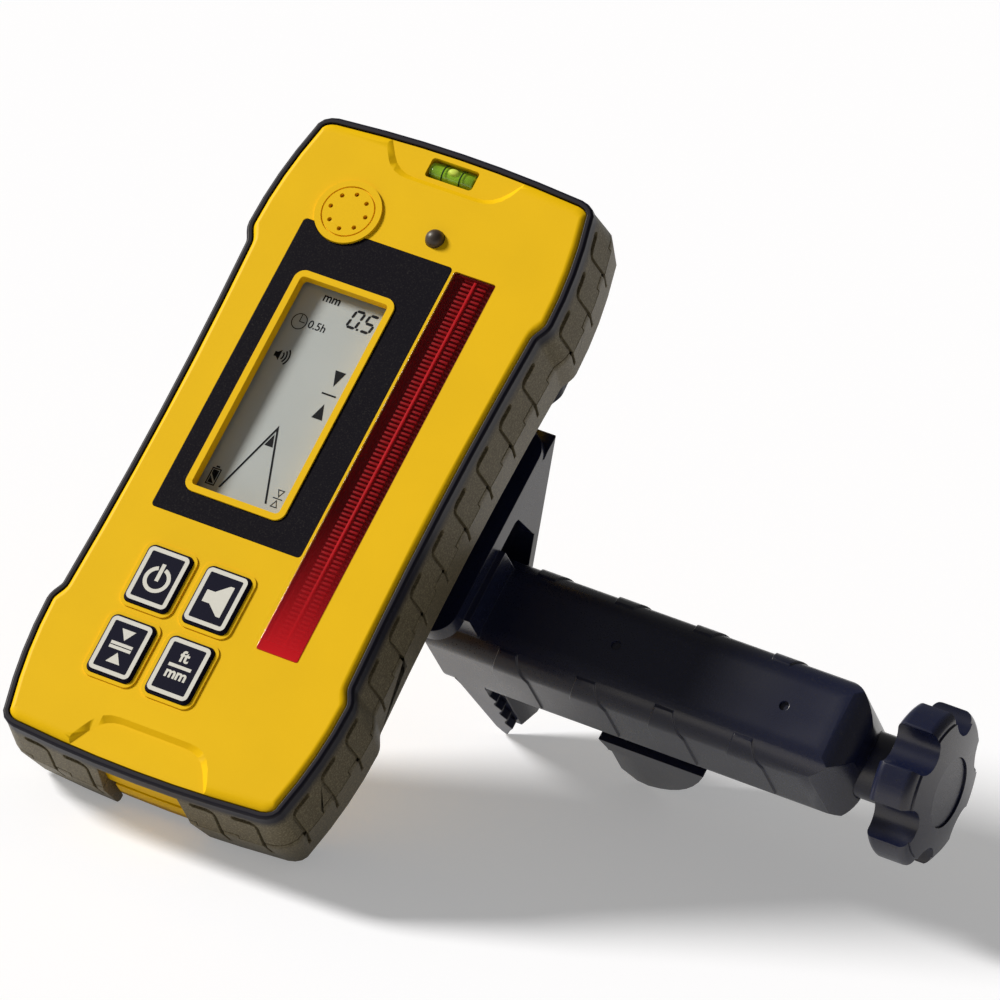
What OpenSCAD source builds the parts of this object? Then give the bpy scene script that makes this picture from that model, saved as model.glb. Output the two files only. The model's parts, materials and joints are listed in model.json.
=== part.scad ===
// Laser receiver with its staff clamp, lying as it rests on a table.
// Receiver frame: x across the face, y along it, z out of it, with the face at z = 0.
// Depths count from the face towards the back. The whole part is then leaned about x.

/* [Receiver] */
// From the display to the upper end of the face
lcd_head = 39.5; // [36:0.1:44]
// From the display to the lower end of the face
lcd_foot = 67.4; // [64:0.1:72]
// Half width of the face at its widest, in the lobes
lobe_half_w = 38.4; // [37:0.1:42]
// Half width of the face at the middle of the waist
waist_half_w = 35.6; // [34:0.1:36.5]
// Half length of the waist
waist_half_l = 45.5; // [42:0.5:48]
// Depth of the front cover, where the housing parts
cover_d = 14; // [13:0.5:16]
// Depth of the receiver's back
back_d = 35; // [34:0.5:40]
// Wall of the housing shells
wall = 2.4; // [2:0.1:2.8]
// Rubber standing out of the housing at the parting line
rubber_out = 2.8; // [2:0.1:3.6]
// Depth at which the rubber ends
rubber_d = 26; // [23:0.5:27]

/* [Windows] */
// Width of the visible display
lcd_w = 22.9; // [18:0.1:24]
// Height of the visible display
lcd_h = 55.7; // [45:0.1:57]
// Width of the yellow rim round the display
bezel = 1.6; // [1:0.1:2]
// Width of the sensor window
sensor_w = 10.8; // [8:0.1:12]
// Height of the sensor window
sensor_h = 100; // [90:0.5:102]

/* [Keys] */
// Width of a key
key_w = 11.6; // [9:0.1:12.5]
// Height of a key
key_h = 14.7; // [11:0.1:15.5]
// Distance between key centres across the face
key_pitch_x = 15.3; // [14.5:0.1:17]
// Distance between key centres along the face
key_pitch_y = 18.3; // [17:0.1:19.5]
// How far a key stands out of the face
key_proud = 1.2; // [1:0.1:2]
// How far a key goes in
key_travel = 0.8; // [0.5:0.1:0.9]

/* [Clamp] */
// Half height of the handle, along the receiver
handle_half_h = 12.8; // [12:0.1:15]
// Half depth of the handle
handle_half_d = 14.5; // [13:0.1:16]
// Depth of the handle's middle
handle_d = 61; // [60:0.5:63]
// How far the screw lies behind the middle of the handle
screw_drop = 3.8; // [2:0.2:4.6]
// Solid end of the handle beyond the slot of the moving jaw
handle_tail = 19.2; // [15:0.2:27]
// Reach of the jaws behind the handle
jaw_reach = 20.5; // [16.5:0.5:26.5]
// Where the moving jaw's grip face stands at rest
moving_face_x = 64.4; // [62:0.1:68]
// Travel of the moving jaw each way
jaw_travel = 22; // [16:0.5:22]
// Radius of the clamp screw
screw_r = 4; // [3:0.1:4.5]
// Radius of the knob at its lobe tips
knob_r = 18.8; // [17:0.1:20]
// Length of the knob's lobes along the screw
knob_l = 10.2; // [9:0.2:13]
// Number of knob lobes
knob_lobes = 6; // [4:1:7]

/* [Hidden] */
$fn = 64;
overrun = 1;
fit_gap = 0.1;
run_gap = 0.08;
slide_gap = 0.3;

// Outline of the face
face_half_l = (lcd_head + lcd_h + lcd_foot) / 2;
waist_flare = 1;
step_l = 5;
lobe_v = waist_half_l + step_l;
lobe_r = 104;
corner_u = 30;
corner_in = 4.3;
corner_v = face_half_l - corner_in;
end_bow = 1.3;
waist_n = 3;
step_n = 6;
lobe_n = 4;
corner_n = 5;
end_n = 3;
bead_r = 1.5;
bead_n = 4;
bead_end_share = 2;

// Rubber section
lip_d = 0.5;
lip_out = 1.6;
lip_round = 0.5;
bevel_d = 3.9;
seam = 0.15;
tail_out = 1.1;
tail_round = 1;
part_up = 1;
part_down = 0.6;
part_d = cover_d - part_up;
tongue_d = cover_d + part_down;
notch_half_w = 10.4;
notch_d = 4.5;
notch_flare = 2.5;
tread_w = 6.6;
groove_t = 0.9;
bar_d = 4.6;
bar_t = 1.5;
leg_w = 0.8;
leg_end_d = 20;
hook_r = 2.6;
hook_n = 4;
waist_tread_n = 4;
lobe_tread_n = 3;
waist_tread_share = 0.245;
lobe_tread_share = 0.117;
lobe_step_share = 0.3735;
end_tread_x = 16.5;
end_tread_pitch = 10.5;
front_slope = atan((rubber_out - lip_out) / (tongue_d - bevel_d));
rear_slope = atan((rubber_out - tail_out) / (rubber_d - tail_round - tongue_d));

// Display panel, display and sensor window
panel_x0 = -27.4;
panel_x1 = 11.8;
panel_foot_share = 0.508;
panel_head = 25.8;
panel_t = 0.8;
panel_r = 1;
lcd_x = -9.45;
lcd_y = face_half_l - lcd_head - lcd_h / 2;
lcd_r = 1;
bezel_r = lcd_r + bezel;
bezel_proud = 0.4;
lens_rim = 1;
lens_t = 1.2;
sensor_x = 17.85;
sensor_drop = 9;
sensor_y = lcd_y - sensor_drop;
sensor_r = 0.6;
sensor_proud = 0.2;
sensor_rim = 1.1;
sensor_rim_t = 1.2;
diode_n = 10;
diode_w = 7;
diode_l = 6.5;
diode_t = 2.4;
sensor_board_t = 1.6;
board_w = 60;
board_in = 18.3;
board_h = 2 * (face_half_l - board_in);
board_t = 1.6;
lcd_t = 5.4;
board_d = wall + lens_t + lcd_t;
board_r = 2;

// Keys and their mat
key_x = -8.95;
key_foot = 34.35;
key_y = key_foot - face_half_l;
key_r = 1.6;
key_gap = 0.15;
key_rim = 0.9;
key_rim_t = 1.1;
key_crown = 0.4;
rim_w = 1;
rim_proud = 0.35;
key_room = lcd_foot - key_foot - key_pitch_y / 2 - key_h / 2 - rim_w;
panel_y0 = lcd_y - lcd_h / 2 - panel_foot_share * key_room;
panel_y1 = face_half_l - panel_head;
mat_margin = 3;
mat_t = 1.2;
dome_r = 3.6;
mat_d = wall + key_rim_t + key_travel + fit_gap;

// Sounder, light sensor and level
speaker_x = -18.1;
speaker_in = 21.3;
speaker_y = face_half_l - speaker_in;
speaker_r = 8;
speaker_proud = 0.6;
speaker_ring_r = 6.3;
speaker_ring_w = 0.35;
speaker_holes = 8;
speaker_hole_r = 0.55;
speaker_hole_pcr = 4.56;
buzzer_r = 9;
buzzer_t = 3.2;
light_x = 4.3;
light_in = 20.6;
light_y = face_half_l - light_in;
light_r = 2.25;
light_rim = 0.9;
light_rim_t = 1;
level_in = 4;
level_y = face_half_l - level_in;
level_w = 12.3;
level_h = 5;
level_r = 0.8;
level_pocket_d = 5.6;
vial_r = 2.3;
vial_l = 11.4;
dip_t = 0.9;
dip_top_in = 7.7;
dip_bottom_in = 9.1;
dip_inner_w = 25;
dip_outer_w = 37;
dip_slope_w = 1.2;
dip_round = 4.5;
dip_n = 4;

// Housing bosses and screws
boss_x = 29;
boss_in = 13.3;
boss_y = face_half_l - boss_in;
boss_r = 2.9;
thread_r = 1.05;
head_r = 1.9;
head_t = 1.5;
head_seat_d = 20;
screw_bite = 8;
gasket_inset = 1.5;
gasket_w = 0.7;
gasket_t = 1.2;

// Back of the housing
shoulder_in = 1.2;
shoulder_d = 1;
back_in = 5;
rim_in = 4.4;
core_in = 12;
core_web = 2.2;
core_floor_d = cover_d + core_web;
core_gap = 4.6;
rear_lcd_w = 30;
rear_lcd_h = 18;
rear_lcd_in = 23.3;
rear_lcd_y = face_half_l - rear_lcd_in;
rear_lens_t = 1.4;
rear_lcd_t = 3;
rear_lcd_rim = 1.4;

// Edge of the back that rests on the table
rest_in = 8.3;
rest_y = face_half_l - rest_in;

// Battery bay, cells and door
door_flush = 0.3;
door_gap = 0.3;
skirt_t = 2;
skirt_y = -rest_y + door_flush + skirt_t;
cell_r = 7.1;
cell_l = 49;
nub_r = 2.75;
nub_l = 1.2;
cell_gap = 0.4;
bay_half_w = 25.6;
bay_wall = 1.4;
bay_bottom_y = skirt_y + door_gap + bay_wall;
bay_top_y = bay_bottom_y + 4 * cell_r + 3 * cell_gap;
contact_t = 0.4;
contact_half = 5.5;
door_t = 2.6;
door_half_w = 26;
door_lap = 1.5;
door_top_y = bay_top_y + door_lap;
tab_half_w = 9.5;
tab_t = 1.2;
tab_y = face_half_l - wall / 2 + slide_gap;
tab_top_d = cover_d + door_gap;
tab_d = 18;
scoop_gap = 0.5;
door_in_d = back_d - door_flush - door_t;
bay_floor_d = door_in_d - 2 * cell_r - 2 * fit_gap;
door_seal_w = 1.2;
door_seal_t = 0.8;
hinge_r = 2;
hinge_pin_r = 1;
hinge_half_l = door_half_w;
hinge_knuckle_half = 10;
hinge_y = door_top_y + hinge_r + door_gap;
hinge_d = back_d - door_flush - hinge_r;
core_low_y = hinge_y + core_gap;

// Clamp mount on the back
mount_y = 6;
insert_r = 5;
insert_l = 8;
insert_bore_r = 3.175;
mount_boss_r = 8.5;
mount_screw_r = 3.1;
thumb_r = 9;
thumb_t = 8;
thumb_flutes = 12;
flute_r = 1.6;
plate_x0 = -17;
plate_x1 = 36.3;
plate_y0 = -16;
plate_y1 = 38;
plate_t = 4.8;
plate_d = back_d + plate_t;
plate_r = 6;
peg_x = -9;
peg_y0 = -9;
peg_y1 = 29;
peg_r = 2.5;
peg_l = 3;
thumb_gap = 0.4;

// Handle, fixed jaw and brace of the clamp
handle_x0 = 24;
handle_round = 7;
handle_end_r = 12;
handle_front_r = 9;
handle_rear_r = 14;
pedestal_x0 = 20;
pedestal_x1 = 38;
bore_r = 8;
slot_half_h = 4.5;
fixed_root_x = 25.5;
fixed_tip_x = 31.3;
fixed_face_x = 35;
fixed_tip_round = 3;
tooth_n = 4;
tooth_pitch = 5;
tooth_h = 1.3;
tooth_w = 2;
brace_t = 2.6;
brace_x0 = 20;
brace_top_y = 39.5;
brace_top_d = 37.5;
brace_low_y = 12;
brace_low_d = 62.5;
web_t = 3;
web_share = 0.62;
web_tip_y = 20;
web_tip_d = 51;
web_hook_y = 18.3;
web_hook_d = 40.5;
dimple_r = 1.1;
dimple_t = 0.8;
dimple_x0 = 69.3;
dimple_x1 = 112.6;
grip_n = 4;
grip_pitch = 20.25;
grip_x = 45.9;
grip_top_w = 4.6;
grip_w = 9.4;
grip_top_d = 47.6;
grip_shoulder_d = 55;
grip_inner_y = 8;
grip_t = 0.4;
pad_half_h = 10.4;
pad_flat_half_h = 6;
pad_t = 4;
pad_root = 2;
handle_rear_d = handle_d + handle_half_d;
pad_d0 = handle_rear_d + pad_root;
jaw_tip_d = handle_rear_d + jaw_reach;
pad_key_half_h = 4;
pad_key_t = 2;

// Moving jaw, nut, bushing and knob
carriage_l = 20.5;
carriage_lag = 2.8;
carriage_x0 = moving_face_x + carriage_lag;
screw_d = handle_d + screw_drop;
carriage_r = bore_r - run_gap;
travel_gap = 0.6;
slot_spare = 3.3;
tip_bore_l = 5;
bore_x0 = carriage_x0 - jaw_travel - travel_gap;
tip_bore_x0 = bore_x0 - tip_bore_l;
slot_x1 = carriage_x0 + carriage_l + jaw_travel + slot_spare;
jaw_seat_d = handle_rear_d + slide_gap;
jaw_neck_half_h = slot_half_h - slide_gap;
jaw_shoulder_d = 4;
jaw_lip = 1.2;
jaw_tip_round = 3.5;
jaw_belly_w = 17;
jaw_buttress_w = 26.2;
jaw_curve_n = 8;
jaw_bevel_w = 6.5;
jaw_bevel_t = 0.7;
nut_half = 4.9;
nut_l = 8;
bushing_l = 15.2;
handle_end_x = slot_x1 + handle_tail;
bushing_x0 = handle_end_x - bushing_l;
neck_l = 5.2;
neck_end_x = handle_end_x + neck_l;
washer_r = 7;
washer_t = 0.9;
clip_r = 6.2;
clip_t = 1.6;
knob_x0 = neck_end_x + washer_t + fit_gap;
knob_edge_r = 2.4;
knob_crown = 1.9;
knob_turn = 2.5;
flank_r = 5;
flank_mid_r = 18.2;
lobe_w = 10.4;
lobe_corner_r = 2.4;
knob_core_r = 15;
cap_r = 8.4;
cap_t = 1.6;
cap_sunk = 0.5;
crown_r = (pow(knob_r, 2) + pow(knob_crown, 2)) / (2 * knob_crown);
knob_x1 = knob_x0 + knob_l + knob_crown;
knob_top_x = knob_x1 - crown_r + sqrt(pow(crown_r, 2) - pow(cap_r, 2));

// Rest on the table: the back's lower edge and the two jaw tips touch it
lean = atan((jaw_tip_d - back_d) / (rest_y - handle_half_h));
rest_z = jaw_tip_d * cos(lean) + handle_half_h * sin(lean);
box_x = (knob_top_x - lobe_half_w - rubber_out) / 2;
box_front = (face_half_l + lip_out) * cos(lean) - (lip_d + lip_round) * sin(lean);
box_rear = max(handle_half_h * cos(lean) + jaw_tip_d * sin(lean),
    (face_half_l - back_in) * cos(lean) + back_d * sin(lean));
box_y = (box_rear - box_front) / 2;

// Face outline, counter-clockwise from the middle of the right side
function smooth(t) = (1 - cos(180 * t)) / 2;
function mix(a, b, t) = a * (1 - t) + b * t;
function side_u(v) = v <= waist_half_l ? waist_half_w + waist_flare * pow(v / waist_half_l, 2)
    : v <= lobe_v ? mix(waist_half_w + waist_flare, lobe_half_w, smooth((v - waist_half_l) / step_l))
    : lobe_half_w - pow(v - lobe_v, 2) / (2 * lobe_r);
function end_v(u) = face_half_l - end_bow * pow(u / corner_u, 2);
function corner(t) = let (a = [side_u(corner_v), corner_v], c = [corner_u, end_v(corner_u)], b = [a.x, c.y])
    a * pow(1 - t, 2) + b * 2 * t * (1 - t) + c * pow(t, 2);
quarter = concat(
    [for (i = [0:waist_n - 1]) let (v = waist_half_l * i / waist_n) [side_u(v), v]],
    [for (i = [0:step_n - 1]) let (v = waist_half_l + step_l * i / step_n) [side_u(v), v]],
    [for (i = [0:lobe_n - 1]) let (v = mix(lobe_v, corner_v, i / lobe_n)) [side_u(v), v]],
    [for (i = [0:corner_n - 1]) corner(i / corner_n)],
    [for (i = [0:end_n - 1]) let (u = corner_u * (1 - i / end_n)) [u, end_v(u)]]);
last = len(quarter) - 1;
outline = concat(quarter, [[0, face_half_l]],
    [for (i = [last:-1:1]) [-quarter[i].x, quarter[i].y]],
    [for (p = quarter) -p], [[0, -face_half_l]],
    [for (i = [last:-1:1]) [quarter[i].x, -quarter[i].y]]);
count = len(outline);
function normal(i) = let (t = outline[(i + 1) % count] - outline[(i + count - 1) % count])
    [t.y, -t.x] / norm(t);
// The outline moved outwards along its normals, and the outline drawn in as a scaled copy
function grown(g) = [for (i = [0:count - 1]) outline[i] + g * normal(i)];
function shrunk(g) = [for (p = outline) [p.x * (1 - g / lobe_half_w), p.y * (1 - g / face_half_l)]];
// The outline drawn in for the rounded edge, further at the two ends than at the sides
function beaded(g) = [for (i = [0:count - 1]) let (n = normal(i))
    outline[i] + g * [n.x, bead_end_share * n.y]];
function at_depth(points, d) = [for (p = points) [p.x, p.y, -d]];

// Solid through a stack of rings from back to front
module loft(rings) {
    n = len(rings[0]);
    m = len(rings);
    faces = concat([[for (i = [0:n - 1]) i]], [[for (i = [n - 1:-1:0]) (m - 1) * n + i]],
        [for (j = [0:m - 2], i = [0:n - 1]) let (k = (i + 1) % n)
            each [[j * n + i, (j + 1) * n + i, (j + 1) * n + k], [j * n + i, (j + 1) * n + k, j * n + k]]]);
    polyhedron([for (r = rings) each r], faces, convexity = 6);
}

// Solid through a stack of rings that run past two depths, with flat faces at those depths
module trimmed_loft(rings, d0, d1) {
    intersection() {
        loft(rings);
        block(-2 * lobe_half_w, 2 * lobe_half_w, -2 * face_half_l, 2 * face_half_l, d0, d1);
    }
}

// Closed band whose section, as [outset, depth] from back to front outside, follows the outline
module band(section) {
    n = count;
    m = len(section);
    faces = [for (j = [0:m - 1], i = [0:n - 1]) let (k = (i + 1) % n, q = (j + 1) % m)
        each [[j * n + i, q * n + i, q * n + k], [j * n + i, q * n + k, j * n + k]]];
    polyhedron([for (s = section) each at_depth(grown(s[0]), s[1])], faces, convexity = 8);
}

module prism(points, d0, d1) {
    translate([0, 0, -d1]) linear_extrude(d1 - d0) polygon(points);
}

module round_rect(w, h, r) {
    square([w - 2 * r, h], center = true);
    square([w, h - 2 * r], center = true);
    for (x = [-1, 1], y = [-1, 1]) translate([x * (w / 2 - r), y * (h / 2 - r)]) circle(r);
}

// Rounded plate between two depths
module slab(x, y, w, h, r, d0, d1) {
    translate([x, y, -d1]) linear_extrude(d1 - d0) round_rect(w, h, r);
}

// Straight-sided block between two depths
module block(x0, x1, y0, y1, d0, d1) {
    translate([x0, y0, -d1]) cube([x1 - x0, y1 - y0, d1 - d0]);
}

module rod_z(x, y, r, d0, d1) {
    translate([x, y, -d1]) cylinder(d1 - d0, r, r);
}

// Round bar along x at a given depth
module rod_x(y, d, r, x0, x1) {
    translate([x0, y, -d]) rotate([0, 90, 0]) cylinder(x1 - x0, r, r);
}

// Profile drawn in x and depth, extruded evenly about y = 0
module along_y(half_h) {
    translate([0, half_h, 0]) rotate([90, 0, 0]) linear_extrude(2 * half_h) mirror([0, 1]) children();
}

// Profile drawn in y and depth, extruded along x
module along_x(x0, x1) {
    translate([x0, 0, 0]) rotate([90, 0, 90]) linear_extrude(x1 - x0) mirror([0, 1]) children();
}

// Whole part in its resting place
module placed() {
    translate([-box_x, -box_y, rest_z]) rotate([lean, 0, 0]) children();
}

module at_keys() {
    for (x = [-1, 1], y = [-1, 1])
        translate([key_x + x * key_pitch_x / 2, key_y + y * key_pitch_y / 2, 0]) children();
}

module at_bosses() {
    for (x = [-1, 1], y = [-1, 1]) translate([x * boss_x, y * boss_y, 0]) children();
}

// Half outline of a dip that widens towards an end of the face, with a soft corner; g grows it
function dip_half(inset, g) = let (y0 = face_half_l - inset - g, y1 = face_half_l + overrun,
    b = [dip_inner_w / 2 + g, y0], c = [dip_outer_w / 2 + g, y1], a = b - [dip_round, 0],
    e = b + (c - b) * dip_round / norm(c - b))
    concat([for (i = [0:dip_n]) let (t = i / dip_n)
        a * pow(1 - t, 2) + b * 2 * t * (1 - t) + e * pow(t, 2)], [c]);
function dip_ring(inset, g) = let (half = dip_half(inset, g), n = len(half))
    concat(half, [for (i = [n - 1:-1:0]) [-half[i].x, half[i].y]]);

// Shallow dip with sloping sides
module dip(inset) {
    loft([at_depth(dip_ring(inset, 0), dip_t),
        at_depth(dip_ring(inset, dip_slope_w * (dip_t + overrun) / dip_t), -overrun)]);
}

module cover_shell() {
    bead = [for (i = [0:bead_n]) let (a = 90 * i / bead_n)
        at_depth(beaded(bead_r * (cos(a) - 1)), bead_r * (1 - sin(a)))];
    difference() {
        trimmed_loft(concat([at_depth(outline, cover_d + overrun)], bead,
            [at_depth(beaded(-bead_r), -overrun)]), 0, cover_d);
        prism(shrunk(wall), wall, cover_d + overrun);
    }
}

module front_cover() placed() color("gold") difference() {
    union() {
        cover_shell();
        at_bosses() rod_z(0, 0, boss_r, wall - overrun, cover_d);
        rod_z(speaker_x, speaker_y, speaker_r, -speaker_proud, wall);
        at_keys() slab(0, 0, key_w + 2 * rim_w, key_h + 2 * rim_w, key_r + rim_w, -rim_proud, wall);
        slab(lcd_x, lcd_y, lcd_w + 2 * bezel, lcd_h + 2 * bezel, bezel_r, -bezel_proud, wall);
        slab(0, level_y, level_w + wall, level_h + wall, level_r, wall - overrun, level_pocket_d + wall / 2);
    }
    difference() {
        slab((panel_x0 + panel_x1) / 2, (panel_y0 + panel_y1) / 2, panel_x1 - panel_x0, panel_y1 - panel_y0,
            panel_r, -overrun, panel_t);
        slab(lcd_x, lcd_y, lcd_w + 2 * bezel, lcd_h + 2 * bezel, bezel_r, -2 * overrun, wall);
        rod_z(speaker_x, speaker_y, speaker_r, -2 * overrun, wall);
    }
    slab(lcd_x, lcd_y, lcd_w, lcd_h, lcd_r, -overrun, cover_d);
    slab(sensor_x, sensor_y, sensor_w, sensor_h, sensor_r, -overrun, cover_d);
    at_keys() slab(0, 0, key_w + 2 * key_gap, key_h + 2 * key_gap, key_r + key_gap, -overrun, cover_d);
    for (k = [0:speaker_holes - 1]) rotate_about(speaker_x, speaker_y, 360 * k / speaker_holes)
        rod_z(speaker_hole_pcr, 0, speaker_hole_r, -overrun, cover_d);
    translate([speaker_x, speaker_y, speaker_proud - speaker_ring_w]) rotate_extrude()
        translate([speaker_ring_r - speaker_ring_w / 2, 0]) square([speaker_ring_w, speaker_ring_w + overrun]);
    rod_z(light_x, light_y, light_r + run_gap, -overrun, cover_d);
    dip(dip_top_in);
    mirror([0, 1]) dip(dip_bottom_in);
    slab(0, level_y, level_w, level_h, level_r, -overrun, level_pocket_d);
    at_bosses() rod_z(0, 0, thread_r, cover_d - screw_bite, cover_d + overrun);
}

module rotate_about(x, y, a) {
    translate([x, y, 0]) rotate([0, 0, a]) children();
}

// Cut in the rubber at the lower end, for the latch of the battery door
module latch_notch() {
    translate([0, -face_half_l, -overrun]) rotate([90, 0, 0]) translate([0, overrun, -overrun - lip_out])
        linear_extrude(4 * rubber_out)
            polygon([[-notch_half_w, -notch_d], [notch_half_w, -notch_d], [notch_half_w + notch_flare, -back_d],
                [-notch_half_w - notch_flare, -back_d]]);
}

// Places of the tread blocks along half a side, and the slope of the side there
tread_v = concat([for (k = [0:waist_tread_n - 1]) (k + 0.5) * waist_tread_share * waist_half_l],
    [for (k = [0:lobe_tread_n - 1]) mix(lobe_v, corner_v, lobe_tread_share + k * lobe_step_share)]);
function side_slope(v) = v <= waist_half_l ? 2 * waist_flare * v / pow(waist_half_l, 2)
    : (lobe_v - v) / lobe_r;

// Repeats its children at each tread block, with x out of the rubber and y along it
module at_tread() {
    for (side = [0, 1], v = tread_v, s = [-1, 1]) mirror([side, 0, 0])
        translate([side_u(v), s * v, 0]) rotate(-s * atan(side_slope(v))) children();
    for (end = [0, 1], k = [0, 1], s = [-1, 1]) {
        x = end_tread_x + k * end_tread_pitch;
        mirror([0, end, 0]) translate([s * x, -end_v(x), 0])
            rotate(s * atan(2 * end_bow * x / pow(corner_u, 2)) - 90) mirror([0, 1, 0]) children();
    }
}

// Hooked groove of a tread block in the front bumper: a bar that bends into a leg
module hook_groove() {
    c = [hook_r - tread_w / 2, bar_d + hook_r];
    bar_end = [tread_w / 2 - bar_t / 2, bar_d + bar_t / 2];
    translate([lip_out - groove_t, 0, -bevel_d]) rotate([0, -front_slope, 0]) translate([0, 0, bevel_d])
        along_x(0, 2 * rubber_out) polygon(concat([[-tread_w / 2, tongue_d + overrun]],
            [for (i = [0:hook_n]) let (a = 180 + 90 * i / hook_n) c + hook_r * [cos(a), sin(a)]],
            [for (i = [0:hook_n]) let (a = 180 * i / hook_n - 90) bar_end + bar_t / 2 * [cos(a), sin(a)]],
            [for (i = [0:hook_n]) let (a = 270 - 90 * i / hook_n)
                c + [(hook_r - leg_w) * cos(a), (hook_r - bar_t) * sin(a)]],
            [[leg_w - tread_w / 2, tongue_d + overrun]]));
}

// The leg of a hooked groove where it runs on in the rear bumper
module leg_groove() {
    translate([rubber_out - groove_t, 0, -tongue_d]) rotate([0, rear_slope, 0]) translate([0, 0, tongue_d])
        block(0, 2 * rubber_out, -tread_w / 2, leg_w - tread_w / 2, part_d, leg_end_d);
}

module front_bumper() placed() color("dimgray") difference() {
    band([[rubber_out, tongue_d], [lip_out, bevel_d], [lip_out, lip_d + lip_round],
        [lip_out - lip_round, lip_d], [fit_gap, lip_d], [fit_gap, tongue_d]]);
    difference() {
        block(-2 * lobe_half_w, 2 * lobe_half_w, -2 * face_half_l, 2 * face_half_l, part_d,
            tongue_d + overrun);
        at_tread() block(-2 * rubber_out, 2 * rubber_out, -tread_w / 2, tread_w / 2, bevel_d, back_d);
    }
    at_tread() hook_groove();
    latch_notch();
}

module rear_bumper() placed() color("dimgray") difference() {
    band([[tail_out - tail_round, rubber_d], [tail_out, rubber_d - tail_round], [rubber_out, tongue_d],
        [mix(lip_out, rubber_out, (part_d + seam - bevel_d) / (tongue_d - bevel_d)), part_d + seam],
        [fit_gap, part_d + seam], [fit_gap, cover_d + seam], [-wall / 2, cover_d + seam],
        [-wall / 2, rubber_d]]);
    at_tread() block(-2 * seam, 2 * rubber_out, -tread_w / 2 - seam, tread_w / 2 + seam, part_d - overrun,
        tongue_d + seam);
    at_tread() leg_groove();
    latch_notch();
}

// Latch tab that hooks over the end of the housing, then slopes back to the door; g widens it into a cut
module latch_form(g) {
    y0 = -rest_y + door_flush;
    along_x(-tab_half_w - g, tab_half_w + g)
        polygon([[-tab_y - tab_t - g, tab_top_d - g], [-tab_y + g, tab_top_d - g], [-tab_y + g, tab_d - tab_t],
            [skirt_y + g, rubber_d + door_gap], [skirt_y + g, rubber_d + skirt_t + g],
            [y0 - g, rubber_d + skirt_t + g], [-tab_y - tab_t - g, tab_d + g]]);
}

// Outer form of the back: a rebate for the rubber, a shoulder and a raised back
module back_form() {
    trimmed_loft([at_depth(shrunk(back_in), back_d + overrun), at_depth(shrunk(back_in), back_d),
        at_depth(shrunk(back_in - shoulder_in), back_d - shoulder_d),
        at_depth(grown(-wall / 2 - fit_gap - shoulder_in), rubber_d),
        at_depth(grown(-wall / 2 - fit_gap), rubber_d - shoulder_d),
        at_depth(grown(-wall / 2 - fit_gap), cover_d - overrun)], cover_d, back_d);
}

module rear_housing() placed() color("gold") difference() {
    union() {
        difference() {
            back_form();
            prism(shrunk(rim_in), cover_d - overrun, core_floor_d);
            intersection() {
                prism(shrunk(core_in), cover_d - overrun, back_d - wall);
                block(-lobe_half_w, lobe_half_w, core_low_y, face_half_l, 0, back_d);
            }
        }
        at_bosses() rod_z(0, 0, boss_r, cover_d, core_floor_d + overrun);
        rod_z(0, mount_y, mount_boss_r, core_floor_d, back_d - wall / 2);
        for (y = [peg_y0, peg_y1]) rod_z(peg_x, y, peg_r + wall, back_d - 2 * wall - peg_l, back_d - wall / 2);
    }
    block(-lobe_half_w, lobe_half_w, -face_half_l - overrun, -rest_y, rubber_d, back_d + overrun);
    difference() {
        prism(grown(-gasket_inset + fit_gap / 2), cover_d - overrun, cover_d + gasket_t);
        prism(grown(-gasket_inset - gasket_w - fit_gap / 2), cover_d - 2 * overrun,
            cover_d + gasket_t + overrun);
    }
    at_bosses() rod_z(0, 0, thread_r + fit_gap, cover_d - overrun, back_d);
    at_bosses() rod_z(0, 0, head_r + fit_gap, head_seat_d, back_d + overrun);
    rod_z(0, mount_y, insert_r + run_gap, back_d - insert_l, back_d + overrun);
    for (y = [peg_y0, peg_y1]) rod_z(peg_x, y, peg_r + run_gap, back_d - peg_l - fit_gap, back_d + overrun);
    slab(0, rear_lcd_y, rear_lcd_w, rear_lcd_h, lcd_r, back_d - rear_lens_t, back_d + overrun);
    slab(0, rear_lcd_y, rear_lcd_w - 2 * rear_lcd_rim, rear_lcd_h - 2 * rear_lcd_rim, lcd_r,
        back_d - 2 * wall, back_d);
    block(-bay_half_w, bay_half_w, bay_bottom_y, bay_top_y, bay_floor_d, back_d + overrun);
    block(-door_half_w - door_gap, door_half_w + door_gap, -rest_y - overrun, door_top_y + door_gap,
        door_in_d - door_seal_t, back_d + overrun);
    block(-door_half_w - door_gap, door_half_w + door_gap, -face_half_l, skirt_y + door_gap, rubber_d, back_d);
    latch_form(scoop_gap);
    difference() {
        block(-hinge_half_l - door_gap, hinge_half_l + door_gap, door_top_y, hinge_y + hinge_r + door_gap,
            hinge_d - hinge_r - door_gap, back_d + overrun);
        for (s = [-1, 1]) translate([s * (hinge_half_l + hinge_knuckle_half) / 2, 0, 0]) {
            half = (hinge_half_l - hinge_knuckle_half - door_gap) / 2;
            rod_x(hinge_y, hinge_d, hinge_r, -half, half);
            block(-half, half, hinge_y, hinge_y + 2 * hinge_r, hinge_d - hinge_r, hinge_d + hinge_r);
        }
    }
    rod_x(hinge_y, hinge_d, hinge_pin_r + fit_gap / 2, -hinge_half_l, hinge_half_l);
}

module cover_gasket() placed() color("black") difference() {
    prism(grown(-gasket_inset), cover_d, cover_d + gasket_t);
    prism(grown(-gasket_inset - gasket_w), cover_d - overrun, cover_d + gasket_t + overrun);
}

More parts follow.
